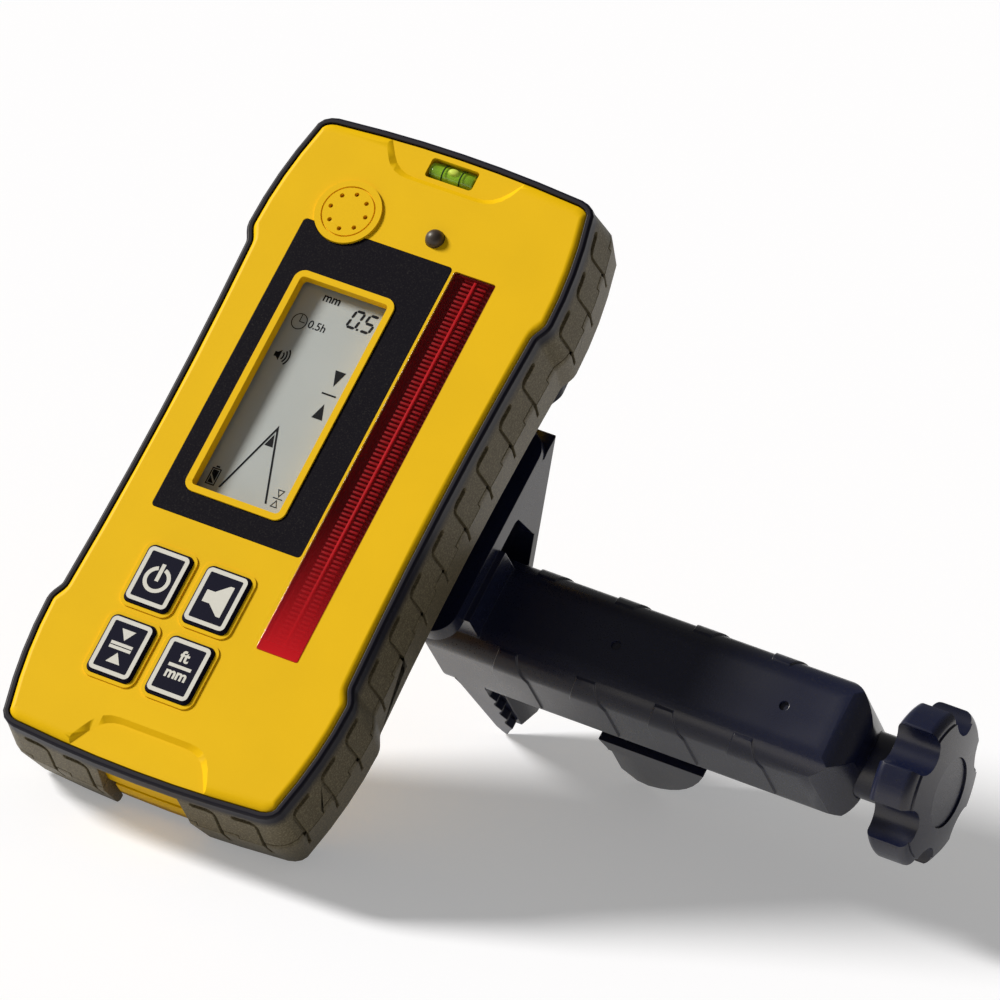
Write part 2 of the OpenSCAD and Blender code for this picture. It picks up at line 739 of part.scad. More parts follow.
module display_panel() placed() color("black") difference() {
    slab((panel_x0 + panel_x1) / 2, (panel_y0 + panel_y1) / 2, panel_x1 - panel_x0 - fit_gap,
        panel_y1 - panel_y0 - fit_gap, panel_r, 0, panel_t);
    slab(lcd_x, lcd_y, lcd_w + 2 * bezel + fit_gap, lcd_h + 2 * bezel + fit_gap, bezel_r, -overrun,
        panel_t + overrun);
    rod_z(speaker_x, speaker_y, speaker_r + fit_gap, -overrun, panel_t + overrun);
}

module display_lens() placed() color([0.8, 0.85, 0.85, 0.4])
    slab(lcd_x, lcd_y, lcd_w + 2 * lens_rim, lcd_h + 2 * lens_rim, lcd_r, wall, wall + lens_t);

module lcd_module() placed() color("silver")
    slab(lcd_x, lcd_y, lcd_w + 2 * lens_rim, lcd_h + 2 * lens_rim, lcd_r, wall + lens_t, board_d);

module sensor_window() placed() color("firebrick") {
    slab(sensor_x, sensor_y, sensor_w - fit_gap, sensor_h - fit_gap, sensor_r, -sensor_proud,
        wall + sensor_rim_t);
    difference() {
        slab(sensor_x, sensor_y, sensor_w + 2 * sensor_rim, sensor_h + 2 * sensor_rim, sensor_r, wall,
            wall + sensor_rim_t);
        slab(sensor_x, sensor_y, sensor_w - fit_gap, sensor_h - fit_gap, sensor_r, wall - overrun,
            wall + 2 * sensor_rim_t);
    }
}

module sensor_board() placed() color("darkgreen")
    slab(sensor_x, sensor_y, sensor_w + 2 * sensor_rim, sensor_h + 2 * sensor_rim, sensor_r,
        board_d - sensor_board_t, board_d);

module photodiodes() placed() color("midnightblue")
    for (k = [0:diode_n - 1]) translate([0, sensor_y + ((k + 0.5) / diode_n - 0.5) * sensor_h, 0])
        slab(sensor_x, 0, diode_w, diode_l, sensor_r, board_d - sensor_board_t - diode_t,
            board_d - sensor_board_t);

module main_board() placed() color("darkgreen")
    slab(0, 0, board_w, board_h, board_r, board_d, board_d + board_t);

module keypad_mat() placed() color("dimgray") {
    slab(key_x, key_y, key_pitch_x + key_w + mat_margin, key_pitch_y + key_h + mat_margin, key_r, mat_d,
        mat_d + mat_t);
    at_keys() rod_z(0, 0, dome_r, mat_d + mat_t, board_d);
}

// One key: a cap with a soft crown and a rim that holds it behind the cover
module key_at(sx, sy) {
    placed() color("black") translate([key_x + sx * key_pitch_x / 2, key_y + sy * key_pitch_y / 2, 0]) {
        slab(0, 0, key_w, key_h, key_r, -key_proud + key_crown, wall);
        slab(0, 0, key_w - 2 * key_crown, key_h - 2 * key_crown, key_r - key_crown, -key_proud,
            -key_proud + key_crown);
        slab(0, 0, key_w + 2 * key_rim, key_h + 2 * key_rim, key_r, wall + fit_gap, wall + key_rim_t);
        slab(0, 0, key_w, key_h, key_r, wall, wall + fit_gap);
    }
}

module key_power() key_at(-1, 1);
module key_sound() key_at(1, 1);
module key_band() key_at(-1, -1);
module key_units() key_at(1, -1);

module buzzer() placed() color("black") rod_z(speaker_x, speaker_y, buzzer_r, wall, wall + buzzer_t);

module light_sensor() placed() color("black") {
    rod_z(light_x, light_y, light_r, 0, wall + light_rim_t);
    rod_z(light_x, light_y, light_r + light_rim, wall, wall + light_rim_t);
    translate([light_x, light_y, 0]) difference() {
        sphere(light_r);
        translate([-light_r, -light_r, -2 * light_r]) cube(2 * light_r);
    }
}

module level_vial() placed() color("greenyellow")
    rod_x(level_y, level_pocket_d - vial_r - fit_gap, vial_r, -vial_l / 2, vial_l / 2);

module housing_screws() placed() color("silver") at_bosses() {
    rod_z(0, 0, thread_r - fit_gap / 2, cover_d - screw_bite + fit_gap, head_seat_d);
    rod_z(0, 0, head_r, head_seat_d, head_seat_d + head_t);
}

module rear_display_lens() placed() color([0.8, 0.85, 0.85, 0.4])
    slab(0, rear_lcd_y, rear_lcd_w - fit_gap, rear_lcd_h - fit_gap, lcd_r, back_d - rear_lens_t,
        back_d - door_flush);

module rear_lcd_module() placed() color("silver")
    slab(0, rear_lcd_y, rear_lcd_w, rear_lcd_h, lcd_r, back_d - wall - rear_lcd_t, back_d - wall);

module battery_cells() placed() color("slategray") for (k = [0, 1]) {
    y = bay_bottom_y + cell_gap + cell_r + k * (2 * cell_r + cell_gap);
    s = 1 - 2 * k;
    d = bay_floor_d + fit_gap + cell_r;
    rod_x(y, d, cell_r, -cell_l / 2 - s * nub_l / 2, cell_l / 2 - s * nub_l / 2);
    translate([s * (cell_l / 2), 0, 0]) rod_x(y, d, nub_r, -nub_l / 2, nub_l / 2);
}

module battery_contacts() placed() color("silver") for (s = [-1, 1], k = [0, 1]) {
    y = bay_bottom_y + cell_gap + cell_r + k * (2 * cell_r + cell_gap);
    d = bay_floor_d + fit_gap + cell_r;
    x = s * (bay_half_w - fit_gap / 2 - contact_t / 2);
    block(x - contact_t / 2, x + contact_t / 2, y - contact_half, y + contact_half, d - contact_half,
        d + contact_half);
}

module battery_door() placed() color("gold") difference() {
    union() {
        block(-door_half_w, door_half_w, -rest_y + door_flush, door_top_y, door_in_d, back_d - door_flush);
        block(-door_half_w, door_half_w, -rest_y + door_flush, skirt_y, rubber_d + door_gap,
            back_d - door_flush);
        latch_form(0);
        rod_x(hinge_y, hinge_d, hinge_r, -hinge_knuckle_half + door_gap, hinge_knuckle_half - door_gap);
        block(-hinge_knuckle_half + door_gap, hinge_knuckle_half - door_gap, door_top_y - overrun, hinge_y,
            door_in_d, back_d - door_flush);
    }
    rod_x(hinge_y, hinge_d, hinge_pin_r + run_gap, -hinge_half_l, hinge_half_l);
}

module door_seal() placed() color("black") difference() {
    block(-door_half_w, door_half_w, bay_bottom_y - door_seal_w, door_top_y, door_in_d - door_seal_t + fit_gap,
        door_in_d);
    block(-bay_half_w, bay_half_w, bay_bottom_y, bay_top_y, door_in_d - 2 * door_seal_t, door_in_d + overrun);
}

module door_hinge_pin() placed() color("silver")
    rod_x(hinge_y, hinge_d, hinge_pin_r, -hinge_half_l + fit_gap, hinge_half_l - fit_gap);

module mount_insert() placed() color("goldenrod") difference() {
    rod_z(0, mount_y, insert_r, back_d - insert_l + fit_gap, back_d);
    rod_z(0, mount_y, insert_bore_r, back_d - insert_l - overrun, back_d + overrun);
}

module mount_screw() placed() color("dimgray") {
    rod_z(0, mount_y, mount_screw_r, back_d - insert_l + wall, plate_d + thumb_gap);
    difference() {
        rod_z(0, mount_y, thumb_r, plate_d + thumb_gap, plate_d + thumb_gap + thumb_t);
        for (k = [0:thumb_flutes - 1]) rotate_about(0, mount_y, 360 * k / thumb_flutes)
            rod_z(thumb_r + flute_r / 2, 0, flute_r, plate_d, plate_d + 2 * thumb_t);
    }
}

// Handle bar with rounded edges and a rounded outer end; g stands it out for the grip pads
module handle_form(g) {
    l = 2 * handle_end_x;
    h = 2 * (handle_half_h + g);
    t = 2 * (handle_half_d + g);
    intersection() {
        along_x(handle_x0, handle_end_x) translate([0, handle_d]) round_rect(h, t, handle_round + g);
        translate([handle_end_x - l / 2, 0, -2 * handle_d]) linear_extrude(2 * handle_d)
            round_rect(l, h, handle_end_r);
        along_y(h) translate([handle_end_x - l / 2, handle_d]) {
            intersection() {
                round_rect(l, t, handle_front_r);
                translate([-l / 2, -t / 2]) square([l, t / 2]);
            }
            intersection() {
                round_rect(l, t, handle_rear_r);
                translate([-l / 2, 0]) square([l, t / 2]);
            }
        }
    }
}

// Raised pads on the handle's two long corners, narrow at the front and wide at the side
module grip_form() {
    base_d = handle_rear_d - handle_round;
    intersection() {
        handle_form(grip_t);
        difference() {
            along_y(handle_half_h + overrun) for (k = [0:grip_n - 1]) translate([grip_x + k * grip_pitch, 0])
                polygon([[-grip_w / 2, base_d], [-grip_w / 2, grip_shoulder_d], [-grip_top_w / 2, grip_top_d],
                    [grip_top_w / 2, grip_top_d], [grip_w / 2, grip_shoulder_d], [grip_w / 2, base_d]]);
            along_y(grip_inner_y) square([2 * handle_end_x, 2 * handle_d]);
        }
    }
}

module fixed_jaw_form() {
    along_y(handle_half_h) polygon([[fixed_root_x, handle_d], [fixed_tip_x, jaw_tip_d - fixed_tip_round],
        [fixed_tip_x + fixed_tip_round / 2, jaw_tip_d], [fixed_face_x - fixed_tip_round / 2, jaw_tip_d],
        [fixed_face_x, jaw_tip_d - fixed_tip_round], [fixed_face_x, handle_d]]);
    difference() {
        along_y(handle_half_h) for (k = [0:tooth_n - 1])
            translate([fixed_face_x, jaw_tip_d - fixed_tip_round - k * tooth_pitch])
                polygon([[-tooth_h, 0], [0, 0], [tooth_h, -tooth_w], [0, -tooth_pitch + tooth_w / 2],
                    [-tooth_h, -tooth_pitch + tooth_w / 2]]);
        along_y(pad_half_h + fit_gap) translate([0, handle_d]) square([2 * handle_end_x, 2 * jaw_tip_d]);
    }
}

// Sloping brace from the plate to the handle, with a hooked web at its outer edge
module brace_form() {
    run = brace_t * sqrt(2);
    along_x(brace_x0, plate_x1)
        polygon([[brace_top_y, brace_top_d], [brace_low_y, brace_low_d], [brace_low_y - run, brace_low_d],
            [brace_top_y - run, brace_top_d]]);
    along_x(plate_x1 - web_t, plate_x1)
        polygon([[brace_top_y - run / 2, brace_top_d],
            [mix(brace_top_y, brace_low_y, web_share) - run / 2, mix(brace_top_d, brace_low_d, web_share)],
            [web_tip_y, web_tip_d], [web_hook_y, web_hook_d], [handle_half_h, plate_d - plate_t / 2]]);
}

module clamp_body() placed() color("darkslategray") difference() {
    union() {
        slab((plate_x0 + plate_x1) / 2, (plate_y0 + plate_y1) / 2, plate_x1 - plate_x0, plate_y1 - plate_y0,
            plate_r, back_d, plate_d);
        for (y = [peg_y0, peg_y1]) rod_z(peg_x, y, peg_r, back_d - peg_l, back_d + overrun);
        block(pedestal_x0, pedestal_x1, -handle_half_h + handle_round / 2, handle_half_h - handle_round / 2,
            plate_d - overrun, handle_d - handle_half_d + overrun);
        handle_form(0);
        grip_form();
        fixed_jaw_form();
        brace_form();
    }
    rod_z(0, mount_y, mount_screw_r + slide_gap, back_d - overrun, plate_d + overrun);
    rod_x(0, screw_d, bore_r, bore_x0, handle_end_x + overrun);
    rod_x(0, screw_d, screw_r + run_gap, tip_bore_x0, bore_x0 + overrun);
    block(bore_x0, slot_x1, -slot_half_h, slot_half_h, screw_d, handle_rear_d + overrun);
    block(fixed_face_x - pad_key_t - fit_gap, fixed_face_x + overrun, -pad_key_half_h - fit_gap,
        pad_key_half_h + fit_gap, pad_d0, jaw_tip_d + overrun);
    for (x = [dimple_x0, dimple_x1])
        rod_z(x, 0, dimple_r, handle_d - handle_half_d - overrun, handle_d - handle_half_d + dimple_t);
}

module grip_pad() placed() color("darkslategray") {
    translate([0, 0, -jaw_tip_d + fixed_tip_round]) linear_extrude(jaw_tip_d - fixed_tip_round - pad_d0)
        polygon([[fixed_face_x, -pad_half_h], [fixed_face_x + pad_t / 2, -pad_half_h],
            [fixed_face_x + pad_t, -pad_flat_half_h], [fixed_face_x + pad_t, pad_flat_half_h],
            [fixed_face_x + pad_t / 2, pad_half_h], [fixed_face_x, pad_half_h]]);
    block(fixed_face_x - pad_key_t, fixed_face_x, -pad_key_half_h, pad_key_half_h, pad_d0 + fit_gap,
        jaw_tip_d - fixed_tip_round);
}

// Curved back of the moving jaw, from its tip to its seat
function belly(t) = let (a = [moving_face_x + jaw_tip_round, jaw_tip_d],
    b = [moving_face_x + jaw_belly_w, jaw_tip_d], c = [moving_face_x + jaw_buttress_w, jaw_seat_d])
    a * pow(1 - t, 2) + b * 2 * t * (1 - t) + c * pow(t, 2);

module moving_jaw() placed() color("darkslategray") {
    f = moving_face_x;
    difference() {
        union() {
            along_y(handle_half_h) polygon(concat([[f - jaw_lip, jaw_seat_d], [f, jaw_seat_d + jaw_shoulder_d],
                [f, jaw_tip_d - jaw_tip_round]], [for (i = [0:jaw_curve_n]) belly(i / jaw_curve_n)]));
            rod_x(0, screw_d, carriage_r, carriage_x0, carriage_x0 + carriage_l);
            block(carriage_x0, carriage_x0 + carriage_l, -jaw_neck_half_h, jaw_neck_half_h, screw_d,
                jaw_seat_d + overrun);
        }
        rod_x(0, screw_d, screw_r + slide_gap, carriage_x0 - overrun, carriage_x0 + carriage_l + overrun);
        block(carriage_x0 - overrun, carriage_x0 + nut_l, -nut_half - fit_gap, nut_half + fit_gap,
            screw_d - nut_half - fit_gap, screw_d + nut_half + fit_gap);
        for (s = [0, 1]) mirror([0, s, 0]) translate([0, 0, -jaw_tip_d - overrun])
            linear_extrude(jaw_tip_d - jaw_seat_d - jaw_shoulder_d)
                polygon([[f - overrun, handle_half_h - jaw_bevel_t], [f, handle_half_h - jaw_bevel_t],
                    [f + jaw_bevel_w, handle_half_h], [f + jaw_bevel_w, handle_half_h + overrun],
                    [f - overrun, handle_half_h + overrun]]);
    }
}

module jaw_nut() placed() color("goldenrod") difference() {
    block(carriage_x0 + fit_gap, carriage_x0 + nut_l - fit_gap, -nut_half, nut_half, screw_d - nut_half,
        screw_d + nut_half);
    rod_x(0, screw_d, screw_r + run_gap, carriage_x0 - overrun, carriage_x0 + 2 * nut_l);
}

module screw_bushing() placed() color("dimgray") difference() {
    rod_x(0, screw_d, bore_r - fit_gap / 2, bushing_x0, neck_end_x);
    rod_x(0, screw_d, screw_r + run_gap, bushing_x0 - overrun, neck_end_x + overrun);
}

module clamp_screw() placed() color("silver")
    rod_x(0, screw_d, screw_r, tip_bore_x0 + slide_gap, knob_x0 + knob_l / 2);

// Ring on the screw, with a press-on bore
module collar(r, x0, x1) {
    difference() {
        rod_x(0, screw_d, r, x0, x1);
        rod_x(0, screw_d, screw_r + fit_gap / 2, x0 - overrun, x1 + overrun);
    }
}

module screw_clip() placed() color("silver")
    collar(clip_r, bushing_x0 - fit_gap - clip_t, bushing_x0 - fit_gap);

module thrust_washer() placed() color("silver")
    collar(washer_r, neck_end_x + fit_gap / 2, knob_x0 - fit_gap / 4);

// Half section of the knob about its axis, with rounded rims and a crowned outer face
module knob_section() {
    l = knob_l + knob_crown;
    intersection() {
        union() {
            square([knob_r - knob_edge_r, l]);
            translate([0, knob_edge_r]) square([knob_r, l - 2 * knob_edge_r - knob_crown]);
            translate([knob_r - knob_edge_r, knob_edge_r]) circle(knob_edge_r);
            translate([knob_r - knob_edge_r, knob_l - knob_edge_r]) circle(knob_edge_r);
        }
        translate([0, l - crown_r]) circle(crown_r, $fn = 4 * $fn);
        square([2 * knob_r, 2 * l]);
    }
}

// Star of the knob seen along its axis, with a valley at the front
module knob_plan() {
    difference() {
        union() {
            circle(knob_core_r);
            for (k = [0:knob_lobes - 1]) rotate(360 * (k + 0.5) / knob_lobes) translate([knob_r / 2, 0])
                round_rect(knob_r, lobe_w, lobe_corner_r);
        }
        for (k = [0:knob_lobes - 1]) rotate(360 * k / knob_lobes) translate([flank_mid_r, 0]) circle(flank_r);
    }
}

module star_knob() placed() color("dimgray") difference() {
    intersection() {
        translate([knob_x0, 0, -screw_d]) rotate([0, 90, 0]) rotate_extrude() knob_section();
        along_x(knob_x0 - overrun, knob_x1 + overrun) translate([0, screw_d]) rotate(knob_turn - 90)
            knob_plan();
    }
    rod_x(0, screw_d, screw_r + fit_gap / 2, knob_x0 - overrun, knob_x0 + knob_l / 2 + fit_gap);
    rod_x(0, screw_d, cap_r, knob_top_x - cap_sunk - cap_t, knob_x1 + overrun);
}

module knob_cap() placed() color("gray")
    rod_x(0, screw_d, cap_r - fit_gap / 2, knob_top_x - cap_sunk - cap_t, knob_top_x - cap_sunk);

front_cover();
front_bumper();
rear_housing();
rear_bumper();
cover_gasket();
display_panel();
display_lens();
lcd_module();
sensor_window();
sensor_board();
photodiodes();
main_board();
keypad_mat();
key_power();
key_sound();
key_band();
key_units();
buzzer();
light_sensor();
level_vial();
housing_screws();
rear_display_lens();
rear_lcd_module();
battery_cells();
battery_contacts();
battery_door();
door_seal();
door_hinge_pin();
mount_insert();
mount_screw();
clamp_body();
grip_pad();
moving_jaw();
jaw_nut();
screw_bushing();
clamp_screw();
screw_clip();
thrust_washer();
star_knob();
knob_cap();
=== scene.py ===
"""Looks of a laser receiver on its staff clamp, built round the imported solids."""

import json
import math

import bpy
from bpy.props import FloatProperty, FloatVectorProperty, PointerProperty
from mathutils import Matrix, Vector


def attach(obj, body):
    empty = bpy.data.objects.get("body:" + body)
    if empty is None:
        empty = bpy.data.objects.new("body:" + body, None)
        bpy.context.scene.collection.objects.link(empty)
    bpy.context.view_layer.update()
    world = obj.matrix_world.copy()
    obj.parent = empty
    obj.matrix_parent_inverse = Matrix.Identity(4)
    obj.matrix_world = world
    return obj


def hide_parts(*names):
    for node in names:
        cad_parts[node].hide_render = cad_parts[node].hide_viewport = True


bl_info = {
    "name": "Laser receiver on a staff clamp",
    "version": (1, 0, 0),
    "blender": (4, 5, 0),
    "location": "View3D > Sidebar > Receiver",
    "description": "Dresses the solids of a laser receiver and its clamp",
    "category": "Object",
}

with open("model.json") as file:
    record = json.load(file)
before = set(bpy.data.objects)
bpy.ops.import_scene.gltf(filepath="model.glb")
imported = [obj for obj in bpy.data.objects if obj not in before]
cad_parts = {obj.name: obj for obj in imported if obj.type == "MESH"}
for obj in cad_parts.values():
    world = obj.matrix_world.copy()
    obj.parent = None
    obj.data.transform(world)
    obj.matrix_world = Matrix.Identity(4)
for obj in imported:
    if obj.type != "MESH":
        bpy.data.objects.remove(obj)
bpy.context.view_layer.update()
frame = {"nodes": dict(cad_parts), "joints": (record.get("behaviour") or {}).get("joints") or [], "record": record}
MM = 0.001
BODY_OF = {n: body for body, nodes in frame["record"]["behaviour"]["bodies"].items() for n in nodes}
JOINTS = {j["name"]: j for j in frame["joints"]}


# The receiver's own frame: across its face, up along it and out of it

ACROSS = Vector((1, 0, 0))
OUT = -Vector(JOINTS["key_power_press"]["axis"]).normalized()
UP = OUT.cross(ACROSS)


def reach(node, axis):
    """Lowest and highest place of a solid along an axis."""
    places = [v.co.dot(axis) for v in frame["nodes"][node].data.vertices]
    return min(places), max(places)


def middle(pair):
    return (pair[0] + pair[1]) / 2


FACE = Matrix((ACROSS, UP, OUT)).transposed().to_4x4()
FACE.translation = (
    ACROSS * middle(reach("main_board", ACROSS))
    + UP * middle(reach("main_board", UP))
    + OUT * reach("display_panel", OUT)[1]
)
TO_FACE = FACE.inverted()


def span(node):
    """Lowest and highest corner of a solid in the receiver's own frame."""
    points = [TO_FACE @ v.co for v in frame["nodes"][node].data.vertices]
    low = Vector([min(p[i] for p in points) for i in range(3)])
    high = Vector([max(p[i] for p in points) for i in range(3)])
    return low, high


# Sizes, colours and stage settings that a user may change


def length(name, description, default):
    """A length whose default is given in millimetres."""
    return FloatProperty(
        name=name, description=description, default=default * MM, unit="LENGTH", precision=5,
    )


def colour(name, description, default):
    return FloatVectorProperty(name=name, description=description, default=default, subtype="COLOR", size=3)


def amount(name, description, default):
    return FloatProperty(name=name, description=description, default=default)


def vector(name, description, default, subtype):
    return FloatVectorProperty(
        name=name, description=description, default=default, subtype=subtype, size=3, precision=6,
    )


class ReceiverSizes(bpy.types.PropertyGroup):
    """Small sizes of the moulded edges, prints and ribs"""

    cover_edge: length("Cover edge", "Rounding of the yellow mouldings' edges", 0.35)
    rubber_edge: length("Rubber edge", "Rounding of the bumpers' edges", 0.2)
    clamp_edge: length("Clamp edge", "Rounding of the clamp's edges", 0.2)
    knob_edge: length("Knob edge", "Rounding of the knob's lobes", 0.7)
    key_edge: length("Key edge", "Rounding of the keys", 0.35)
    fine_edge: length("Fine edge", "Rounding of the small and thin pieces", 0.15)
    # Painted shade: the back shell's side between the bumper and the clamp is painted dark where it lies in
    # shadow.
    painted_shade_lead: length("Rim lead", "How far the back shell's dark rim reaches under the bumper", 0.5)
    painted_shade_tail: length("Rim tail", "Yellow left between the dark rim and the back", 0.6)
    lip_depth: length("Lip depth", "Depth behind the face at which the bumpers' smooth lip ends", 3.0)
    # Painted light: from this depth on, the bumpers carry their full painted sheen as well as their full grain.
    sheen_and_grain_depth: length("Tread depth", "Depth behind the face at which the bumpers' grain is full", 5.5)
    print_height: length("Print height", "Thickness of the prints on the keys", 0.05)
    ring_width: length("Ring width", "Width of the pale ring on each key", 1.0)
    ring_inset: length("Ring inset", "Room between a key's top and its ring", 0.55)
    ring_round: length("Ring rounding", "Outer corner of a key's ring", 1.3)
    ring_hole_round: length("Ring hole rounding", "Inner corner of a key's ring", 0.35)
    key_slope: length("Key slope", "Width of a key's sloping side, seen from above", 0.9)
    mark_height: length("Mark height", "Thickness of the marks on the displays", 0.03)
    mark_margin: length("Mark margin", "Room between the display's corner and the marks", 1.0)
    pane_thickness: length("Pane thickness", "Thickness of the sensor window's clear skin", 0.8)
    pane_gap: length("Pane gap", "Gap between the clear skin and its tray", 0.05)
    window_depth: length("Window depth", "Depth of the ribbed floor behind the sensor window", 2.9)
    tray_wall: length("Tray wall", "Wall round the ribbed floor", 0.35)
    rib_pitch: length("Rib pitch", "Distance between the ribs behind the sensor window", 1.13)
    rib_length: length("Rib length", "Length of each rib", 2.6)
    rib_gap: length("Rib gap", "Half the room between the two rows of ribs", 0.4)
    rib_edge: length("Rib edge", "Rounding of the ribs", 0.08)
    rib_margin: length("Rib margin", "Least room above the ribs and below them", 0.7)
    spine_edge: length("Spine edge", "Rounding of the bright strip between the ribs", 0.12)
    spine_margin: length("Spine margin", "Room above the bright strip and below it", 1.6)
    liquid_edge: length("Liquid edge", "Rounding of the liquid's ends", 0.4)
    vial_clear: length("Vial clear", "Half the length of the level that is evenly bright", 2.2)
    vial_ring: length("Vial ring", "Width of a ring line on the level", 0.3)
    vial_lines: length("Vial lines", "Distance of the ring lines from the level's middle", 2.3)
    vial_print: length("Vial print", "Height of the ring lines over the level's tube", 0.08)
    bubble_length: length("Bubble length", "Length of the level's bubble", 3.0)
    bubble_width: length("Bubble width", "Width of the level's bubble", 2.0)
    cell_band: length("Cell band", "Distance of the cells' band from their middle", 12.0)


class ReceiverColours(bpy.types.PropertyGroup):
    """Colours of the finishes"""

    yellow: colour("Yellow", "Moulded cover and housing", (0.87, 0.515, 0.003))
    rubber: colour("Rubber", "Smooth lip of the bumpers", (0.006, 0.006, 0.014))
    # Painted light: an olive painted sheen of the pale floor on the bumpers' sides, far lighter than the black
    # rubber.
    sheen_and_grain: colour("Tread", "Grained sides of the bumpers", (0.150, 0.124, 0.074))
    rubber_glint: colour("Rubber glint", "Tint of what the rubber reflects", (1.0, 0.90, 0.72))
    panel: colour("Panel", "Grained panel round the display", (0.0028, 0.0019, 0.0058))
    key: colour("Key", "Rubber keys", (0.005, 0.005, 0.017))
    clamp: colour("Clamp", "Clamp mouldings and knob", (0.005, 0.008, 0.031))
    dark: colour("Dark", "Light sensor and sounder", (0.050, 0.036, 0.028))
    resin: colour("Resin", "Sensors behind the window", (0.01, 0.01, 0.03))
    # Painted glints: colour of the lighter specks in the grain of the black mouldings.
    painted_glint: colour("Speck", "Bright specks in the black mouldings", (0.055, 0.050, 0.042))
    glint: colour("Glint", "Tint of what the black mouldings reflect", (1.0, 0.94, 0.80))
    printing: colour("Print", "Rings and signs on the keys", (0.72, 0.69, 0.60))
    window: colour("Window", "Sensor window", (0.42, 0.006, 0.010))
    lens: colour("Lens", "Clear lenses over the displays", (0.05, 0.05, 0.06))
    display: colour("Display", "Display glass", (0.46, 0.48, 0.45))
    mark: colour("Mark", "Dark marks on the displays", (0.004, 0.004, 0.005))
    vial: colour("Vial", "Liquid in the level", (0.33, 0.58, 0.03))
    vial_line: colour("Vial line", "Ring lines of the level", (0.010, 0.030, 0.006))
    bubble: colour("Bubble", "Bubble in the level", (0.62, 0.72, 0.10))
    steel: colour("Steel", "Screws and pins", (0.55, 0.55, 0.56))
    brass: colour("Brass", "Nut and insert", (0.62, 0.42, 0.16))
    board: colour("Board", "Circuit boards", (0.015, 0.11, 0.04))
    cell: colour("Cell", "Jacket of the cells", (0.08, 0.10, 0.13))
    cell_band: colour("Cell band", "Band on the cells", (0.50, 0.34, 0.10))
    floor: colour("Floor", "Table under the part", (0.80, 0.79, 0.79))


class ReceiverStage(bpy.types.PropertyGroup):
    """Camera, lamps and floor"""

    camera_place: vector(
        "Camera place", "Place of the camera in the receiver's frame",
        (0.842831, -0.593663, 1.710909), "TRANSLATION",
    )
    camera_aim: vector(
        "Camera aim", "Point the camera looks at, in the receiver's frame",
        (0.041658, 0.012381, -0.015153), "TRANSLATION",
    )
    camera_up: vector(
        "Camera up", "Upward direction of the picture, in the receiver's frame",
        (-0.306307, 0.844835, 0.438814), "DIRECTION",
    )
    lens: FloatProperty(
        name="Lens", description="Focal length", default=320.96, min=1, max=1000, unit="CAMERA", precision=3,
    )
    floor_size: FloatProperty(
        name="Floor size", description="Side of the floor", default=8.0, unit="LENGTH",
    )
    floor_drop: length("Floor drop", "Gap between the part and the floor", 0.02)
    key_way: vector("Key way", "Direction towards the main lamp", (-0.80, -0.20, 0.56), "DIRECTION")
    key_strength: amount("Key strength", "Light of the main lamp", 4.1)
    key_angle: FloatProperty(
        name="Key angle", description="Width of the main lamp as seen from the part",
        default=math.radians(15), subtype="ANGLE",
    )
    sky_low: amount("Low sky", "Strength of the even light near the floor", 0.2)
    sky_high: amount("High sky", "Strength of the even light overhead", 0.1)
    glow: amount("Glow", "Share of white added to the floor as seen", 0.3)


GROUPS = {
    "receiver_sizes": ReceiverSizes,
    "receiver_colours": ReceiverColours,
    "receiver_stage": ReceiverStage,
}


def sizes():
    return bpy.context.scene.receiver_sizes


def colours():
    return bpy.context.scene.receiver_colours


# Shader nodes


class Value:
    """One socket of a shader; sums, products and tests of values add their Math nodes."""

    def __init__(self, finish, socket):
        self.finish = finish
        self.socket = socket

    def join(self, operation, *terms):
        return self.finish.node("ShaderNodeMath", {"operation": operation}, dict(enumerate(terms)))

    def __add__(self, other):
        return self.join("ADD", self, other)

    def __radd__(self, other):
        return self.join("ADD", other, self)

    def __sub__(self, other):
        return self.join("SUBTRACT", self, other)

    def __rsub__(self, other):
        return self.join("SUBTRACT", other, self)

    def __mul__(self, other):
        return self.join("MULTIPLY", self, other)

    def __rmul__(self, other):
        return self.join("MULTIPLY", other, self)

    def __gt__(self, other):
        return self.join("GREATER_THAN", self, other)

    def __lt__(self, other):
        return self.join("LESS_THAN", self, other)

    def __abs__(self):
        return self.join("ABSOLUTE", self)

    def highest(self, other):
        return self.join("MAXIMUM", self, other)


